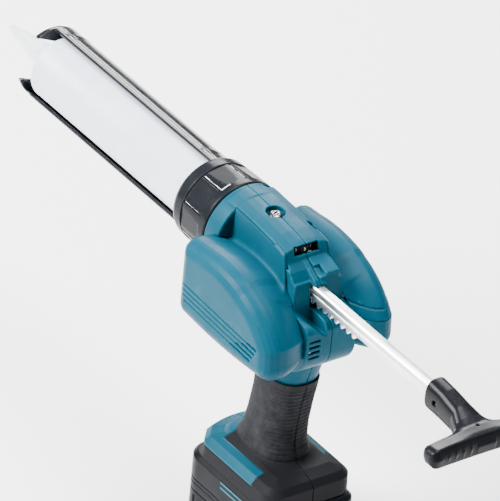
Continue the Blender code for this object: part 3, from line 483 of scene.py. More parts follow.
def turn_about_axis(y, z, angle):
    c, s = math.cos(angle), math.sin(angle)
    return y * c + z * s, z * c - y * s


def collar():
    """The locking collar: broad flat pads parted by fine grooves."""
    pads = 9
    half_pad = math.pi / pads

    def field(x, y, z):
        around = np.sqrt(y * y + z * z)
        angle = np.arctan2(z, y) - math.radians(40.0)
        off_middle = (angle + half_pad) % (2 * half_pad) - half_pad
        ring = poly(x, around, [(1.3, 29.5), (1.3, 32.4), (2.2, 33.0), (20.0, 32.6), (38.4, 31.9),
                                (40.6, 31.0), (41.1, 30.0), (41.1, 29.5)]) - 0.4
        taper = np.clip((x - 6.0) / 26.0, 0.0, 1.0)
        flat = around * np.cos(off_middle) - (32.9 - 1.35 * taper)
        flat = np.maximum(flat, NOTHING)
        piece = both(ring, np.where((x > 8.2) & (x < 30.0), flat, NOTHING), 0.3)
        between = (half_pad - np.abs(off_middle)) * 32.5
        groove = np.maximum(np.maximum(between - 0.42, 31.6 - around), span(x, 7.6, 29.6))
        step = np.maximum(span(x, 29.6, 30.5), 31.3 - around)
        piece = without(without(piece, groove, 0.25), step, 0.3)
        bore = np.where(x < 4.0, 30.8, 29.0) - around
        return both(piece, bore, 0.3)

    return solid("collar_ring", field, (0.0, -34.0, -34.0), (42.0, 34.0, 34.0), 0.5, 0.5)


def collar_mark():
    """Plain painted lines that show the collar's place."""
    strokes = [((7.2, 28.0), (61.4, 62.2)), ((6.6, 7.3), (61.4, 75.5)), ((9.0, 27.0), (98.2, 98.9)),
               ((12.0, 28.0), (21.6, 22.0))]
    steps = 10
    points, faces = [], []
    for (x0, x1), (a0, a1) in strokes:
        base = len(points)
        for i in range(steps + 1):
            angle = math.radians(a0 + (a1 - a0) * i / steps)
            for x in (x0, x1):
                for lift in (-0.5, 0.07):
                    r = 33.38 + lift - 0.0265 * (x - 2.2)
                    points.append((x, r * math.cos(angle), r * math.sin(angle)))
        for i in range(steps):
            a, b = base + 4 * i, base + 4 * (i + 1)
            for p, q in ((0, 1), (1, 3), (3, 2), (2, 0)):
                faces.append((a + p, a + q, b + q, b + p))
        faces.append((base, base + 2, base + 3, base + 1))
        top = base + 4 * steps
        faces.append((top, top + 1, top + 3, top + 2))
    return outward(new_piece("collar_mark", points, faces))


def holder():
    """Rolled sheet steel: an open tube with hemmed edges, swaged bands and a notched end plate."""
    def field(x, y, z):
        around = np.sqrt(y * y + z * z)
        oy, oz = turn_about_axis(y, z, OPEN_AT)
        angle = np.abs(np.arctan2(oz, oy))
        swage = 0.35 * np.exp(-((x - 57.0) / 3.0) ** 2) + 0.35 * np.exp(-((x - 229.0) / 3.0) ** 2)
        tube = np.abs(around - swage - SHEET_R) - 0.65
        tube = both(tube, span(x, 8.2, 244.6), 0.3)
        edge = (HALF_OPEN - angle) * SHEET_R
        tube = both(tube, np.where((x > 42.0) & (x < 242.5), edge + 0.1, NOTHING), 0.2)
        hem = np.sqrt((edge + 0.3) ** 2 + (around - SHEET_R) ** 2) - 1.45
        hem = both(hem, span(x, 42.6, 242.0), 0.5)
        crease = np.abs(edge + 5.2) - 0.35
        tube = without(tube, np.maximum(np.maximum(crease, 28.25 - around), span(x, 44.0, 240.0)), 0.3)
        plate = both(around - 27.9, span(x, 244.2, 247.2), 1.0)
        dish = np.maximum(around - 23.0, span(x, 246.4, 250.0))
        plate = without(plate, dish, 0.6)
        notch = poly(oy, oz, [(-1.0, -15.5), (70.0, -19.5), (70.0, 19.5), (-1.0, 15.5)]
                     + arc(-1.0, 0.0, 15.5, 90, 270, 16)[1:-1])
        notch = np.maximum(notch, 234.0 - x)
        piece = either(either(tube, hem, 0.8), plate, 1.0)
        return without(piece, notch, 0.5)

    return solid("holder_shell", field, (7.5, -30.5, -30.5), (248.0, 30.5, 30.5), 0.62, 0.3)


def cartridge():
    body = lathe("cartridge_body", [
        (26.0, 24.5), (26.6, 24.75), (30.0, 24.75), (30.6, 24.55), (231.5, 24.55), (232.2, 24.75),
        (233.6, 24.75), (234.6, 24.4), (235.4, 23.6), (237.6, 21.4), (238.6, 19.4), (239.6, 15.0),
        (240.2, 10.6), (241.0, 9.3), (252.4, 7.9), (252.4, 5.0), (238.5, 5.0), (235.0, 20.8),
        (231.0, 23.25), (26.0, 23.25)], 128, 40)
    nozzle = lathe("nozzle_body", [
        (241.8, 12.2), (242.2, 12.6), (244.0, 12.6), (244.6, 12.2), (245.4, 10.9), (246.4, 10.4),
        (260.0, 8.3), (262.0, 8.2), (262.6, 7.9), (278.0, 5.5), (297.4, 2.2), (297.7, 1.9),
        (297.7, 1.3), (255.2, 6.5), (254.0, 8.2), (241.8, 9.6)], 72, 40)
    return body, nozzle


# ------------------------------------------------------------------ rack and handle

HANDLE_PIN = (-246.0, -2.2)            # x and z of the pin through the stem


def rack_piece():
    """The toothed bar, its long edges chamfered and a shallow groove along each side."""
    pitch, root, line = 7.07, -7.1, -9.3
    slope = math.tan(math.radians(20))
    half = (pitch / 2 - 0.5) / 2
    outline = [(-252.0, 3.0), (120.0, 3.0), (120.0, root)]
    for i in range(28, -1, -1):
        middle = -58.0 + pitch * (i - 12)
        foot_half, tip_half = half + slope * 2.2, half - slope * 1.8
        outline += [(middle + foot_half, root), (middle + tip_half + 0.1, line - 1.5),
                    (middle + tip_half - 0.25, line - 1.8), (middle - tip_half + 0.25, line - 1.8),
                    (middle - tip_half - 0.1, line - 1.5), (middle - foot_half, root)]
    outline.append((-252.0, root))

    def ring(y, lift):
        return [(x, y, min(z, 3.0 - lift)) for x, z in outline]

    rings = [ring(-4.0, 1.3), ring(-2.9, 0.0), ring(2.9, 0.0), ring(4.0, 1.3)]
    points = [p for r in rings for p in r]
    obj = outward(new_piece("rack_bar", points, row_faces(4, len(outline))))
    for side in (1, -1):
        groove = box_tool((-260.0, 130.0), sorted((side * 3.55, side * 6.0)), (-3.1, -2.2))
        subtract(obj, groove)
    pin_hole = rod_tool("Y", HANDLE_PIN, 2.3, -20.0, 20.0)
    bolt_hole = rod_tool("X", (0.0, 0.0), 1.7, 110.0, 130.0)
    for tool in (pin_hole, bolt_hole):
        subtract(obj, tool)
    return bevelled(obj, 0.18, 1, 25)


def box_tool(xs, ys, zs):
    points = [(x, y, z) for x in xs for y in ys for z in zs]
    faces = [(0, 1, 3, 2), (4, 6, 7, 5), (0, 4, 5, 1), (2, 3, 7, 6), (0, 2, 6, 4), (1, 5, 7, 3)]
    return outward(new_piece("tool", points, faces))


def rod_tool(axis, centre, radius, low, high, count=40):
    points = []
    for along in (low, high):
        for i in range(count):
            u = centre[0] + radius * math.cos(2 * math.pi * i / count)
            v = centre[1] + radius * math.sin(2 * math.pi * i / count)
            points.append({"X": (along, u, v), "Y": (u, along, v), "Z": (u, v, along)}[axis])
    return outward(new_piece("tool", points, row_faces(2, count)))


def subtract(obj, tool):
    modifier = obj.modifiers.new("Cut", "BOOLEAN")
    modifier.solver = "EXACT"
    modifier.operation = "DIFFERENCE"
    modifier.object = tool
    apply_modifiers(obj)
    bpy.data.objects.remove(tool)
    return obj


def handle():
    """A moulded T: a tall oval stem that flares into a crossbar with a flat, creased top."""
    stem_x = (-290.0, -282.0, -275.0, -266.0, -250.0, -235.0, -233.3)
    stem_z = (-8.4, -8.0, -7.0, -5.0, -3.0, -2.2, -2.2)
    stem_y = (19.0, 17.0, 12.6, 9.7, 9.3, 9.3, 8.2)
    stem_h = (7.4, 8.4, 9.4, 10.9, 11.9, 12.3, 11.2)

    def field(x, y, z):
        half_y, half_z, middle = (np.interp(x, stem_x, v) for v in (stem_y, stem_h, stem_z))
        ratio = ((np.abs(y) / half_y) ** 2.6 + (np.abs(z - middle) / half_z) ** 2.6) ** (1 / 2.6)
        stem = both((ratio - 1.0) * np.minimum(half_y, half_z), span(x, -290.0, -233.6), 2.0)
        bow = x + 288.0 + 3.0 * (y / 47.0) ** 2
        share = 1.0 - 0.12 * (y / 47.0) ** 2
        section = poly(bow / share, (z + 8.4) / share,
                       [(-5.6, -5.6), (3.6, -5.6), (6.6, -1.5), (6.4, 3.2), (3.2, 5.3), (-4.6, 5.8),
                        (-6.6, 0.0)]) - 2.4
        bar = both(section * share, np.abs(y) - 46.8, 7.0)
        piece = either(stem, bar, 4.0)
        for side in (1, -1):
            for k in range(5):
                at = side * (10.0 + 6.4 * k)
                flute = np.maximum(np.maximum(np.abs(y - at) - 1.9, bow + 8.2), span(z, -15.0, -5.4))
                piece = without(piece, flute, 0.8)
        piece = without(piece, round_rod(x + 284.5, y, z, 1.1, -4.0, 8.0, 0.2), 0.4)
        piece = without(piece, brick(x, y, z, (-253.0, -220.0), (-4.35, 4.35), (-7.45, 3.35)), 0.4)
        pin = round_rod(x - HANDLE_PIN[0], z - HANDLE_PIN[1], y, 2.3, -30.0, 30.0)
        return without(piece, pin, 0.4)

    return solid("handle_grip", field, (-300.0, -47.5, -18.0), (-233.0, 47.5, 11.0), 0.55, 0.5)


# ------------------------------------------------------------------ battery

BATTERY_OUTLINE = (arc(-23.0, 19.5, 18.0, 90, 0, 10) + arc(-23.0, -19.5, 18.0, 0, -90, 10)
                   + arc(-105.0, -27.5, 10.0, -90, -180, 8) + arc(-105.0, 27.5, 10.0, 180, 90, 8))
SPLIT = -196.0                         # where the battery's two cases meet
BATTERY_TOP = -172.8


def battery_lower():
    def field(x, y, z):
        edge = poly(x, y, BATTERY_OUTLINE)
        case = poly(edge, z, [(-90.0, -230.8), (-3.4, -230.8), (-1.2, -228.8), (-1.2, -197.5),
                              (-90.0, -197.5)]) - 1.2
        case = np.maximum(case, -(case + 2.4))
        case = both(case, z - (SPLIT - 0.35), 0.3)
        for k in range(9):
            at = -97.0 + 9.3 * k
            flute = np.maximum(np.abs(x - at) - 1.1, span(z, -224.0, -206.0))
            flute = np.maximum(flute, 36.6 - np.abs(y))
            case = without(case, flute, 0.6)
        return without(case, np.maximum(span(z, -203.0, -202.0), -0.7 - edge), 0.3)

    return solid("battery_tray", field, (-115.5, -38.0, -232.5), (-4.5, 38.0, -195.5), 0.7, 0.4)


def battery_upper():
    top = BATTERY_TOP

    def field(x, y, z):
        edge = poly(x, y, BATTERY_OUTLINE)
        case = poly(edge, z, [(-90.0, -197.0), (-1.0, -197.0), (-1.0, top - 4.0), (-3.4, top - 1.6),
                              (-8.0, top - 1.0), (-90.0, top - 1.0)]) - 1.0
        case = np.maximum(case, -(case + 2.4))
        case = both(case, SPLIT - z, 0.3)
        case = without(case, np.maximum(span(z, -193.4, -192.4), -0.8 - edge), 0.3)
        rails = brick(x, y, z, (-104.0, -26.0), (-24.0, 24.0), (top - 2.6, top + 7.0), 1.0)
        rails = without(rails, np.maximum(span(z, top + 1.6, top + 4.2), 20.6 - np.abs(y)), 0.3)
        rails = without(rails, np.maximum(np.maximum(np.abs(np.abs(y) - 10.0) - 1.0, top + 2.0 - z),
                                          span(x, -100.0, -30.0)), 0.3)
        piece = either(case, rails, 0.4)
        room = brick(x, y, z, (-30.0, 10.0), (-13.3, 13.3), (top - 15.6, top + 10.0))
        return without(piece, room, 0.5)

    return solid("battery_cap", field, (-115.5, -38.0, -197.0), (-4.5, 38.0, -165.0), 0.7, 0.4)


def battery_latch():
    top = BATTERY_TOP

    def field(x, y, z):
        body = brick(x, y, z, (-24.0, -5.4), (-13.0, 13.0), (top - 12.0, top), 1.5)
        for k in range(3):
            rib = np.maximum(np.abs(z - (top - 3.8 - 2.4 * k)) - 0.6, np.abs(y) - 9.0)
            rib = np.maximum(rib, -6.2 - x)
            body = without(body, rib, 0.5)
        return body

    return solid("latch_button", field, (-24.5, -13.5, top - 12.5), (-5.0, 13.5, top + 0.5), 0.45, 0.5)


# ------------------------------------------------------------------ materials

class Nodes:
    """A short way to write a node tree."""

    def __init__(self, name, material=None):
        self.material = material or bpy.data.materials.new(name)
        self.material.use_nodes = True
        self.tree = self.material.node_tree
        self.shader = self.tree.nodes["Principled BSDF"]
        self.coords = self.tree.nodes.new("ShaderNodeTexCoord").outputs["Object"]

    def add(self, kind, settings=None, **inputs):
        node = self.tree.nodes.new(kind)
        for key, value in (settings or {}).items():
            setattr(node, key, value)
        for key, value in inputs.items():
            self.put(node.inputs[key.replace("_", " ")], value)
        return node

    def put(self, socket, value):
        if isinstance(value, bpy.types.NodeSocket):
            self.tree.links.new(value, socket)
        else:
            socket.default_value = value

    def noise(self, scale, detail=3.0, roughness=0.5, coords=None):
        node = self.add("ShaderNodeTexNoise", Scale=scale, Detail=detail, Roughness=roughness)
        self.put(node.inputs["Vector"], coords or self.coords)
        return node.outputs["Fac"]

    def stretched(self, x, y, z):
        node = self.add("ShaderNodeMapping")
        node.inputs["Scale"].default_value = (x, y, z)
        self.put(node.inputs["Vector"], self.coords)
        return node.outputs["Vector"]

    def remap(self, value, low, high, new_low, new_high):
        node = self.add("ShaderNodeMapRange")
        for key, number in (("From Min", low), ("From Max", high),
                            ("To Min", new_low), ("To Max", new_high)):
            node.inputs[key].default_value = number
        self.put(node.inputs["Value"], value)
        return node.outputs["Result"]

    def ramp(self, value, *stops):
        node = self.add("ShaderNodeValToRGB")
        elements = node.color_ramp.elements
        while len(elements) < len(stops):
            elements.new(0.5)
        for element, (place, colour) in zip(elements, stops):
            element.position = place
            element.color = (*colour, 1.0)
        self.put(node.inputs["Fac"], value)
        return node.outputs["Color"]

    def mix(self, fac, a, b, kind="MIX"):
        node = self.add("ShaderNodeMix", {"data_type": "RGBA", "blend_type": kind})
        self.put(node.inputs[0], fac)
        self.put(node.inputs[6], (*a, 1.0) if isinstance(a, tuple) else a)
        self.put(node.inputs[7], (*b, 1.0) if isinstance(b, tuple) else b)
        return node.outputs[2]

    def maths(self, operation, a, b=0.0):
        node = self.add("ShaderNodeMath", {"operation": operation})
        self.put(node.inputs[0], a)
        self.put(node.inputs[1], b)
        return node.outputs[0]

    def bump(self, height, strength, distance, under=None):
        node = self.add("ShaderNodeBump", Strength=strength, Distance=distance, Height=height)
        if under is not None:
            self.put(node.inputs["Normal"], under)
        return node.outputs["Normal"]

    def edges(self, low=0.508, high=0.56):
        """Bright on convex edges: partly wear where handling polishes them, partly a painted highlight.
        """
        geometry = self.add("ShaderNodeNewGeometry")
        return self.remap(geometry.outputs["Pointiness"], low, high, 0.0, 1.0)

    def finish(self, colour, roughness, normal=None, **constants):
        base = (*colour, 1.0) if isinstance(colour, tuple) else colour
        self.put(self.shader.inputs["Base Color"], base)
        self.put(self.shader.inputs["Roughness"], roughness)
        if normal is not None:
            self.put(self.shader.inputs["Normal"], normal)
        for key, value in constants.items():
            self.shader.inputs[key.replace("_", " ")].default_value = value
        return self.material


def moulded(name, colour, light, rough, **constants):
    """Moulded plastic: spark-eroded grain, faint flow variation, and paler edges, partly polished wear
    and partly a painted highlight.
    """
    n = Nodes(name)
    flow = n.noise(38.0, 4.0)
    fine = n.noise(1400.0, 2.0, 0.6)
    broad = n.ramp(flow, (0.3, colour), (0.72, tuple(c * 1.14 + 0.002 for c in colour)))
    dust = n.remap(n.noise(260.0, 5.0, 0.65), 0.55, 0.8, 0.0, 0.10)
    mottled = n.mix(dust, broad, light)
    # Paler convex edges: partly wear, partly a painted highlight.
    wear_and_highlight = n.maths("MULTIPLY", n.edges(), n.remap(n.noise(420.0, 3.0), 0.35, 0.7, 0.15, 0.5))
    colour_out = n.mix(wear_and_highlight, mottled, light)
    roughness = n.remap(n.noise(90.0, 4.0), 0.3, 0.7, rough - 0.05, rough + 0.07)
    normal = n.bump(fine, 0.35, 0.00004, n.bump(flow, 0.15, 0.0004))
    return n.finish(colour_out, roughness, normal, **constants)


def boxed(n, *boxes):
    """1 inside any of the given boxes (low and high corners in mm from RIM), 0 outside them."""
    axes = n.add("ShaderNodeSeparateXYZ")
    n.put(axes.inputs[0], n.coords)
    total = 0.0
    for low, high in boxes:
        inside = 1.0
        for axis, (a, b) in enumerate(zip(low, high)):
            for operation, edge in (("GREATER_THAN", a), ("LESS_THAN", b)):
                if edge is not None:
                    limit = (edge + RIM[axis]) * MM
                    inside = n.maths("MULTIPLY", inside, n.maths(operation, axes.outputs[axis], limit))
        total = n.maths("MAXIMUM", total, inside)
    return total


def painted_over(material, boxes, colour, rough=None):
    """Change the colour, and the roughness if given, inside some boxes of a material."""
    n = Nodes(material.name, material)
    mask = boxed(n, *boxes)
    old = n.shader.inputs["Base Color"].links[0].from_socket
    n.put(n.shader.inputs["Base Color"], n.mix(mask, old, colour))
    if rough is not None:
        old = n.shader.inputs["Roughness"].links[0].from_socket
        n.put(n.shader.inputs["Roughness"], n.maths("MAXIMUM", old, n.maths("MULTIPLY", mask, rough)))
    return material


def metal(name, colour, rough=0.3, stretch=(30.0, 900.0, 900.0), strength=0.25, tarnish=0.12,
          **constants):
    """Drawn or machined metal, brushed along its length."""
    n = Nodes(name)
    streaks = n.noise(1.0, 6.0, 0.7, n.stretched(*stretch))
    clouds = n.noise(55.0, 5.0, 0.6)
    dark = tuple(c * (1 - tarnish * 2.2) for c in colour)
    tone = n.ramp(clouds, (0.35, dark), (0.62, colour))
    paler = tuple(min(c * 1.15, 1.0) for c in colour)
    tone = n.mix(n.remap(streaks, 0.3, 0.75, 0.0, 0.35), tone, paler)
    roughness = n.maths("ADD", n.remap(streaks, 0.3, 0.7, rough - 0.07, rough + 0.09),
                        n.remap(clouds, 0.45, 0.7, 0.0, 0.08))
    normal = n.bump(streaks, strength, 0.00003)
    return n.finish(tone, roughness, normal, Metallic=1.0, **constants)


def gloss_paint(name, colour, rough=0.16):
    n = Nodes(name)
    peel = n.noise(320.0, 2.0, 0.4)
    smudge = n.noise(30.0, 5.0, 0.65)
    scuffs = n.noise(1.0, 4.0, 0.7, n.stretched(60.0, 700.0, 700.0))
    tone = n.ramp(smudge, (0.3, colour), (0.75, tuple(c * 1.5 + 0.004 for c in colour)))
    # Grey on convex edges: partly worn paint, partly a painted highlight.
    wear_and_highlight = n.maths("MULTIPLY", n.edges(0.515, 0.6), n.remap(n.noise(500.0, 4.0), 0.5, 0.7, 0.0, 0.7))
    tone = n.mix(wear_and_highlight, tone, (0.20, 0.21, 0.22))
    roughness = n.maths("ADD", n.remap(smudge, 0.3, 0.7, rough - 0.05, rough + 0.10),
                        n.remap(scuffs, 0.55, 0.8, 0.0, 0.18))
    return n.finish(tone, roughness, n.bump(peel, 0.12, 0.00005), Coat_Weight=0.22, Coat_Roughness=0.12,
                    Specular_IOR_Level=0.2)


def polymer(name, colour, shade, rough=0.3, **constants):
    """Smooth pale plastic with faint cloudiness and rub marks."""
    n = Nodes(name)
    clouds = n.noise(45.0, 4.0, 0.55)
    rubs = n.noise(1.0, 5.0, 0.7, n.stretched(500.0, 60.0, 60.0))
    tone = n.ramp(clouds, (0.35, shade), (0.65, colour))
    tone = n.mix(n.remap(rubs, 0.62, 0.85, 0.0, 0.16), tone, shade)
    roughness = n.remap(rubs, 0.35, 0.7, rough - 0.05, rough + 0.12)
    return n.finish(tone, roughness, n.bump(rubs, 0.08, 0.00004), **constants)


def rubber(name, colour):
    n = Nodes(name)
    cells = n.add("ShaderNodeTexVoronoi", {"feature": "F1"}, Scale=620.0)
    n.put(cells.inputs["Vector"], n.coords)
    dots = n.remap(cells.outputs["Distance"], 0.15, 0.55, 1.0, 0.0)
    dust = n.noise(120.0, 5.0, 0.65)
    tone = n.ramp(dust, (0.35, colour), (0.75, tuple(c * 1.9 + 0.01 for c in colour)))
    normal = n.bump(dots, 0.5, 0.0002, n.bump(n.noise(900.0, 3.0), 0.2, 0.00005))
    return n.finish(tone, n.remap(dust, 0.3, 0.7, 0.62, 0.78), normal, Specular_IOR_Level=0.07)


def board(name):
    n = Nodes(name)
    tracks = n.noise(300.0, 1.0, 0.3)
    tone = n.ramp(tracks, (0.46, (0.01, 0.10, 0.04)), (0.52, (0.03, 0.22, 0.09)))
    return n.finish(tone, 0.35, n.bump(tracks, 0.3, 0.0001))


def winding(name):
    n = Nodes(name)
    wave = n.add("ShaderNodeTexWave", {"wave_type": "BANDS", "bands_direction": "Y"},
                 Scale=900.0, Distortion=2.0)
    n.put(wave.inputs["Vector"], n.coords)
    tone = n.ramp(wave.outputs["Fac"], (0.2, (0.30, 0.09, 0.03)), (0.8, (0.75, 0.33, 0.14)))
    return n.finish(tone, 0.35, n.bump(wave.outputs["Fac"], 0.6, 0.0002), Metallic=0.9)


TEAL, TEAL_LIGHT = (0.0, 0.043, 0.071), (0.006, 0.12, 0.17)
RUBBER_BOXES = (((None, None, None), (-86.0, None, -146.0)),
                ((None, None, None), (None, None, -160.9)),
                ((None, -26.0, -156.0), (-36.0, 26.0, -146.0)))
STRIPE_BOXES = (((-92.0, 37.0, -178.2), (-52.0, None, -177.0)),
                ((-92.0, 37.0, -182.4), (-52.0, None, -181.2)),
                ((-92.0, None, -178.2), (-52.0, -37.0, -177.0)),
                ((-92.0, None, -182.4), (-52.0, -37.0, -181.2)))
BLACK, BLACK_LIGHT = (0.004, 0.0045, 0.006), (0.02, 0.022, 0.025)
MAT = {
    "teal": moulded("moulded_teal", TEAL, TEAL_LIGHT, 0.40, Specular_IOR_Level=0.06),
    "casing": painted_over(moulded("teal_and_rubber", TEAL, TEAL_LIGHT, 0.40, Specular_IOR_Level=0.06),
                           RUBBER_BOXES, (0.006, 0.0065, 0.008), 0.6),
    "battery": painted_over(moulded("black_and_stripe", BLACK, BLACK_LIGHT, 0.34,
                                    Specular_IOR_Level=0.05), STRIPE_BOXES, TEAL_LIGHT),
    "black": moulded("moulded_black", BLACK, BLACK_LIGHT, 0.28, Specular_IOR_Level=0.08),
    "collar": moulded("moulded_charcoal", (0.006, 0.007, 0.009), (0.04, 0.043, 0.047), 0.22,
                      Specular_IOR_Level=0.055),
    "rubber": rubber("grip_rubber", (0.006, 0.0065, 0.008)),
    "paint": gloss_paint("gloss_black_paint", (0.004, 0.0045, 0.006)),
    "white": polymer("white_polymer", (0.58, 0.64, 0.72), (0.52, 0.59, 0.68), 0.34),
    "clear": polymer("milky_polymer", (0.84, 0.88, 0.92), (0.74, 0.80, 0.86), 0.22,
                     Transmission_Weight=0.25),
    "mark": moulded("mark_paint", (0.72, 0.74, 0.76), (0.8, 0.82, 0.84), 0.4),
    "steel": metal("drawn_steel", (0.90, 0.92, 0.94), 0.36, tarnish=0.04),
    "chrome": metal("screw_chrome", (0.17, 0.175, 0.185), 0.22, (900.0, 900.0, 900.0), 0.1, 0.04),
    "gear": metal("gear_steel", (0.34, 0.34, 0.36), 0.36, (500.0, 500.0, 500.0)),
    "brass": metal("turned_brass", (0.68, 0.48, 0.20), 0.32, (500.0, 60.0, 500.0)),
    "copper": winding("copper_winding"),
    "board": board("board_lacquer"),
    "cell": polymer("cell_wrap", (0.07, 0.15, 0.30), (0.05, 0.11, 0.24), 0.3),
}


def dress(obj, material, body, replaces=()):
    obj.data.materials.clear()
    obj.data.materials.append(MAT[material])
    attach(obj, body)
    if replaces:
        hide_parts(*replaces)
    return obj


# ------------------------------------------------------------------ small parts

def screw_head(name, x, z_top, radius):
    """A round head with a cross recess, lying in its hole."""
    profile = [(0.0, radius * 0.96), (1.2, radius), (2.0, radius * 0.93), (2.6, radius * 0.7),
               (2.9, radius * 0.35)]
    points, count = [], 48
    for rise, r in profile:
        for i in range(count):
            angle = 2 * math.pi * i / count
            points.append((x + r * math.cos(angle), r * math.sin(angle), z_top - 2.9 + rise))
    obj = outward(new_piece(name, points, row_faces(len(profile), count), 40))
    turn = Matrix.Translation(Vector((x, 0, 0))) @ Matrix.Rotation(math.radians(24), 4, "Z")
    for half_x, half_y in ((3.0, 0.65), (0.65, 3.0)):
        tool = box_tool((-half_x, half_x), (-half_y, half_y), (z_top - 2.3, z_top + 1.0))
        tool.data.transform(Matrix.Translation(-RIM * MM))
        tool.data.transform(Matrix.Translation(RIM * MM) @ Matrix.Scale(MM, 4) @ turn
                            @ Matrix.Scale(1 / MM, 4))
        subtract(obj, tool)
    return bevelled(obj, 0.12, 2, 35)


SPRING_FOOT = (-56.0, 0.0, -85.0)      # where the trigger's spring stands on the switch


def trigger_spring():
    """The coil that pushes the trigger out."""
    length, radius, wire, turns, steps, sides = 8.4, 2.2, 0.32, 6, 24, 8
    points = []
    for i in range(turns * steps + 1):
        angle = 2 * math.pi * i / steps
        along = SPRING_FOOT[0] + wire + (length - 2 * wire) * i / (turns * steps)
        for k in range(sides):
            turn = 2 * math.pi * k / sides
            reach = radius + wire * math.cos(turn)
            points.append((along + wire * math.sin(turn), reach * math.cos(angle),
                           SPRING_FOOT[2] + reach * math.sin(angle)))
    return outward(new_piece("trigger_coil", points, row_faces(turns * steps + 1, sides), 40))


DIAL_X = -62.5


def dial_wheel():
    """The knurled speed wheel; its digits are made by dial_digits."""
    centre, radius, count = (DIAL_X, 0.0), 11.5, 60
    points = []
    for z, inner in ((18.9, 0.5), (19.4, 0.0), (24.1, 0.0), (24.6, 0.5)):
        for i in range(count * 2):
            angle = math.pi * i / count
            r = radius - inner - (0.35 if i % 2 else 0.0)
            points.append((centre[0] + r * math.cos(angle), centre[1] + r * math.sin(angle), z))
    obj = outward(new_piece("dial_wheel", points, row_faces(4, 2 * count), 30))
    subtract(obj, rod_tool("Z", centre, 2.2, 10.0, 30.0))
    return obj


def dial_digits():
    """Plain digits on the wheel's rim, one on each step."""
    pieces = []
    for k, text in enumerate("12345"):
        curve = bpy.data.curves.new("digit", "FONT")
        curve.body = text
        curve.size = 3.3 * MM
        curve.align_x = curve.align_y = "CENTER"
        curve.extrude = 0.12 * MM
        obj = bpy.data.objects.new("digit", curve)
        bpy.context.scene.collection.objects.link(obj)
        bpy.context.view_layer.update()
        depsgraph = bpy.context.evaluated_depsgraph_get()
        mesh = bpy.data.meshes.new_from_object(obj.evaluated_get(depsgraph))
        bpy.data.objects.remove(obj)
        angle = math.radians(180 + 33 * (k - 2))
        spot = Vector((DIAL_X + 11.45 * math.cos(angle), 11.45 * math.sin(angle), 21.8))
        upright = Matrix.Rotation(math.radians(90), 4, "X")
        place = (Matrix.Translation((RIM + spot) * MM)
                 @ Matrix.Rotation(angle + math.radians(90), 4, "Z") @ upright)
        mesh.transform(place)
        pieces.append(mesh)
    bm = bmesh.new()
    for mesh in pieces:
        bm.from_mesh(mesh)
    mesh = bpy.data.meshes.new("dial_digits")
    bm.to_mesh(mesh)
    bm.free()
    obj = bpy.data.objects.new("dial_digits", mesh)
    bpy.context.scene.collection.objects.link(obj)
    return obj


# ------------------------------------------------------------------ assembly

for side, hand in ((1, "left"), (-1, "right")):
    dress(housing(side), "casing", "body", (f"housing_{hand}",))
    dress(side_cover(side), "teal", "body", (f"side_cover_{hand}",))
    dress(grip_sleeve(side), "rubber", "body", (f"grip_sleeve_{hand}",))
dress(screw_head("top_screw_head", SCREW_X, 31.3, 5.0), "chrome", "body", ("top_screw",))
dress(collar(), "collar", "collar", ("locking_collar",))
dress(collar_mark(), "mark", "collar")
dress(holder(), "paint", "holder", ("cartridge_holder",))
tube, nozzle = cartridge()
dress(tube, "white", "holder", ("cartridge_tube",))
dress(nozzle, "clear", "holder", ("cartridge_nozzle",))
dress(rack_piece(), "steel", "rack", ("rack",))
dress(handle(), "black", "rack", ("t_handle",))
dress(battery_lower(), "battery", "battery", ("battery_lower_case",))
dress(battery_upper(), "battery", "battery", ("battery_upper_case",))
dress(battery_latch(), "black", "latch", ("battery_latch",))
dress(dial_wheel(), "black", "dial", ("speed_dial",))
dress(dial_digits(), "mark", "dial")
spring = dress(trigger_spring(), "steel", "body", ("trigger_spring",))
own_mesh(spring)

slots = {part["node"]: part["material_slot"] for part in frame["record"]["subparts"]}
for node, obj in frame["nodes"].items():
    for slot in obj.material_slots:
        slot.material = MAT[slots[node]]


# ------------------------------------------------------------------ stage

def plain(name, colour, rough=0.9):
    material = bpy.data.materials.new(name)
    material.use_nodes = True
    shader = material.node_tree.nodes["Principled BSDF"]
    shader.inputs["Base Color"].default_value = (*colour, 1.0)
    shader.inputs["Roughness"].default_value = rough
    return material


def floor():
    mesh = bpy.data.meshes.new("floor")
    mesh.from_pydata([(-6, -6, 0), (6, -6, 0), (6, 6, 0), (-6, 6, 0)], [], [(0, 1, 2, 3)])
    mesh.materials.append(plain("floor_paper", (0.93, 0.93, 0.93)))
    obj = bpy.data.objects.new("floor", mesh)
    bpy.context.scene.collection.objects.link(obj)


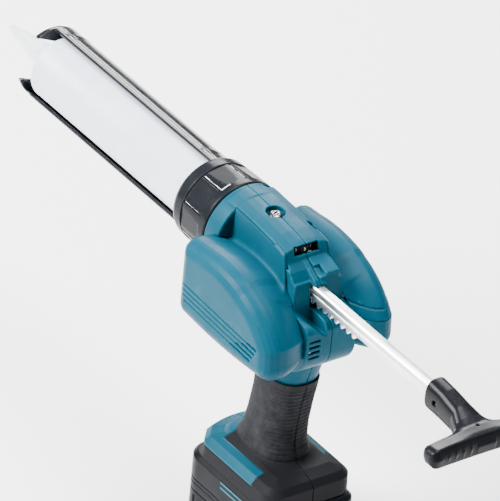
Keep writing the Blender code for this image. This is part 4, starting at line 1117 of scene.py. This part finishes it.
def area_light(name, place, target, size, power, colour=(1.0, 1.0, 1.0)):
    light = bpy.data.lights.new(name, "AREA")
    light.shape = "DISK"
    light.size = size
    light.energy = power
    light.color = colour
    obj = bpy.data.objects.new(name, light)
    obj.location = place
    obj.rotation_euler = (Vector(target) - Vector(place)).to_track_quat("-Z", "Y").to_euler()
    bpy.context.scene.collection.objects.link(obj)


AZIMUTH, ELEVATION, ROLL = math.radians(232.4), math.radians(32.8), math.radians(5.5)
DISTANCE = 6000.0
VIEW_SIZE = 353.3                      # what the picture's side spans at the gun, in mm
AIM_RIGHT, AIM_DOWN = 5.43, 18.48      # where the camera points, from RIM
SENSOR = 36.0


def camera():
    back = Vector((math.sin(AZIMUTH) * math.cos(ELEVATION), -math.cos(AZIMUTH) * math.cos(ELEVATION),
                   math.sin(ELEVATION)))
    level = Vector((math.cos(AZIMUTH), math.sin(AZIMUTH), 0.0))
    upright = back.cross(level)
    right = level * math.cos(ROLL) + upright * math.sin(ROLL)
    up = -level * math.sin(ROLL) + upright * math.cos(ROLL)
    place = RIM + back * DISTANCE + right * AIM_RIGHT - up * AIM_DOWN
    data = bpy.data.cameras.new("camera")
    data.sensor_width = SENSOR
    data.lens = DISTANCE * SENSOR / VIEW_SIZE
    data.clip_end = 100.0
    obj = bpy.data.objects.new("camera", data)
    turn = Matrix((right, up, back)).transposed().to_4x4()
    obj.matrix_world = Matrix.Translation(place * MM) @ turn
    bpy.context.scene.collection.objects.link(obj)
    bpy.context.scene.camera = obj


floor()
camera()
middle = (0.05, 0.0, 0.2)
area_light("key", (0.9, 1.7, 1.8), middle, 1.4, 290.0, (1.0, 0.99, 0.97))
area_light("rim", (1.7, -1.3, 1.5), middle, 1.2, 95.0)
area_light("top", (-0.2, -0.4, 2.6), middle, 1.5, 135.0, (0.97, 0.98, 1.0))
world = bpy.data.worlds.new("studio")
world.use_nodes = True
world.node_tree.nodes["Background"].inputs["Color"].default_value = (0.95, 0.97, 1.0, 1.0)
world.node_tree.nodes["Background"].inputs["Strength"].default_value = 0.3
bpy.context.scene.world = world
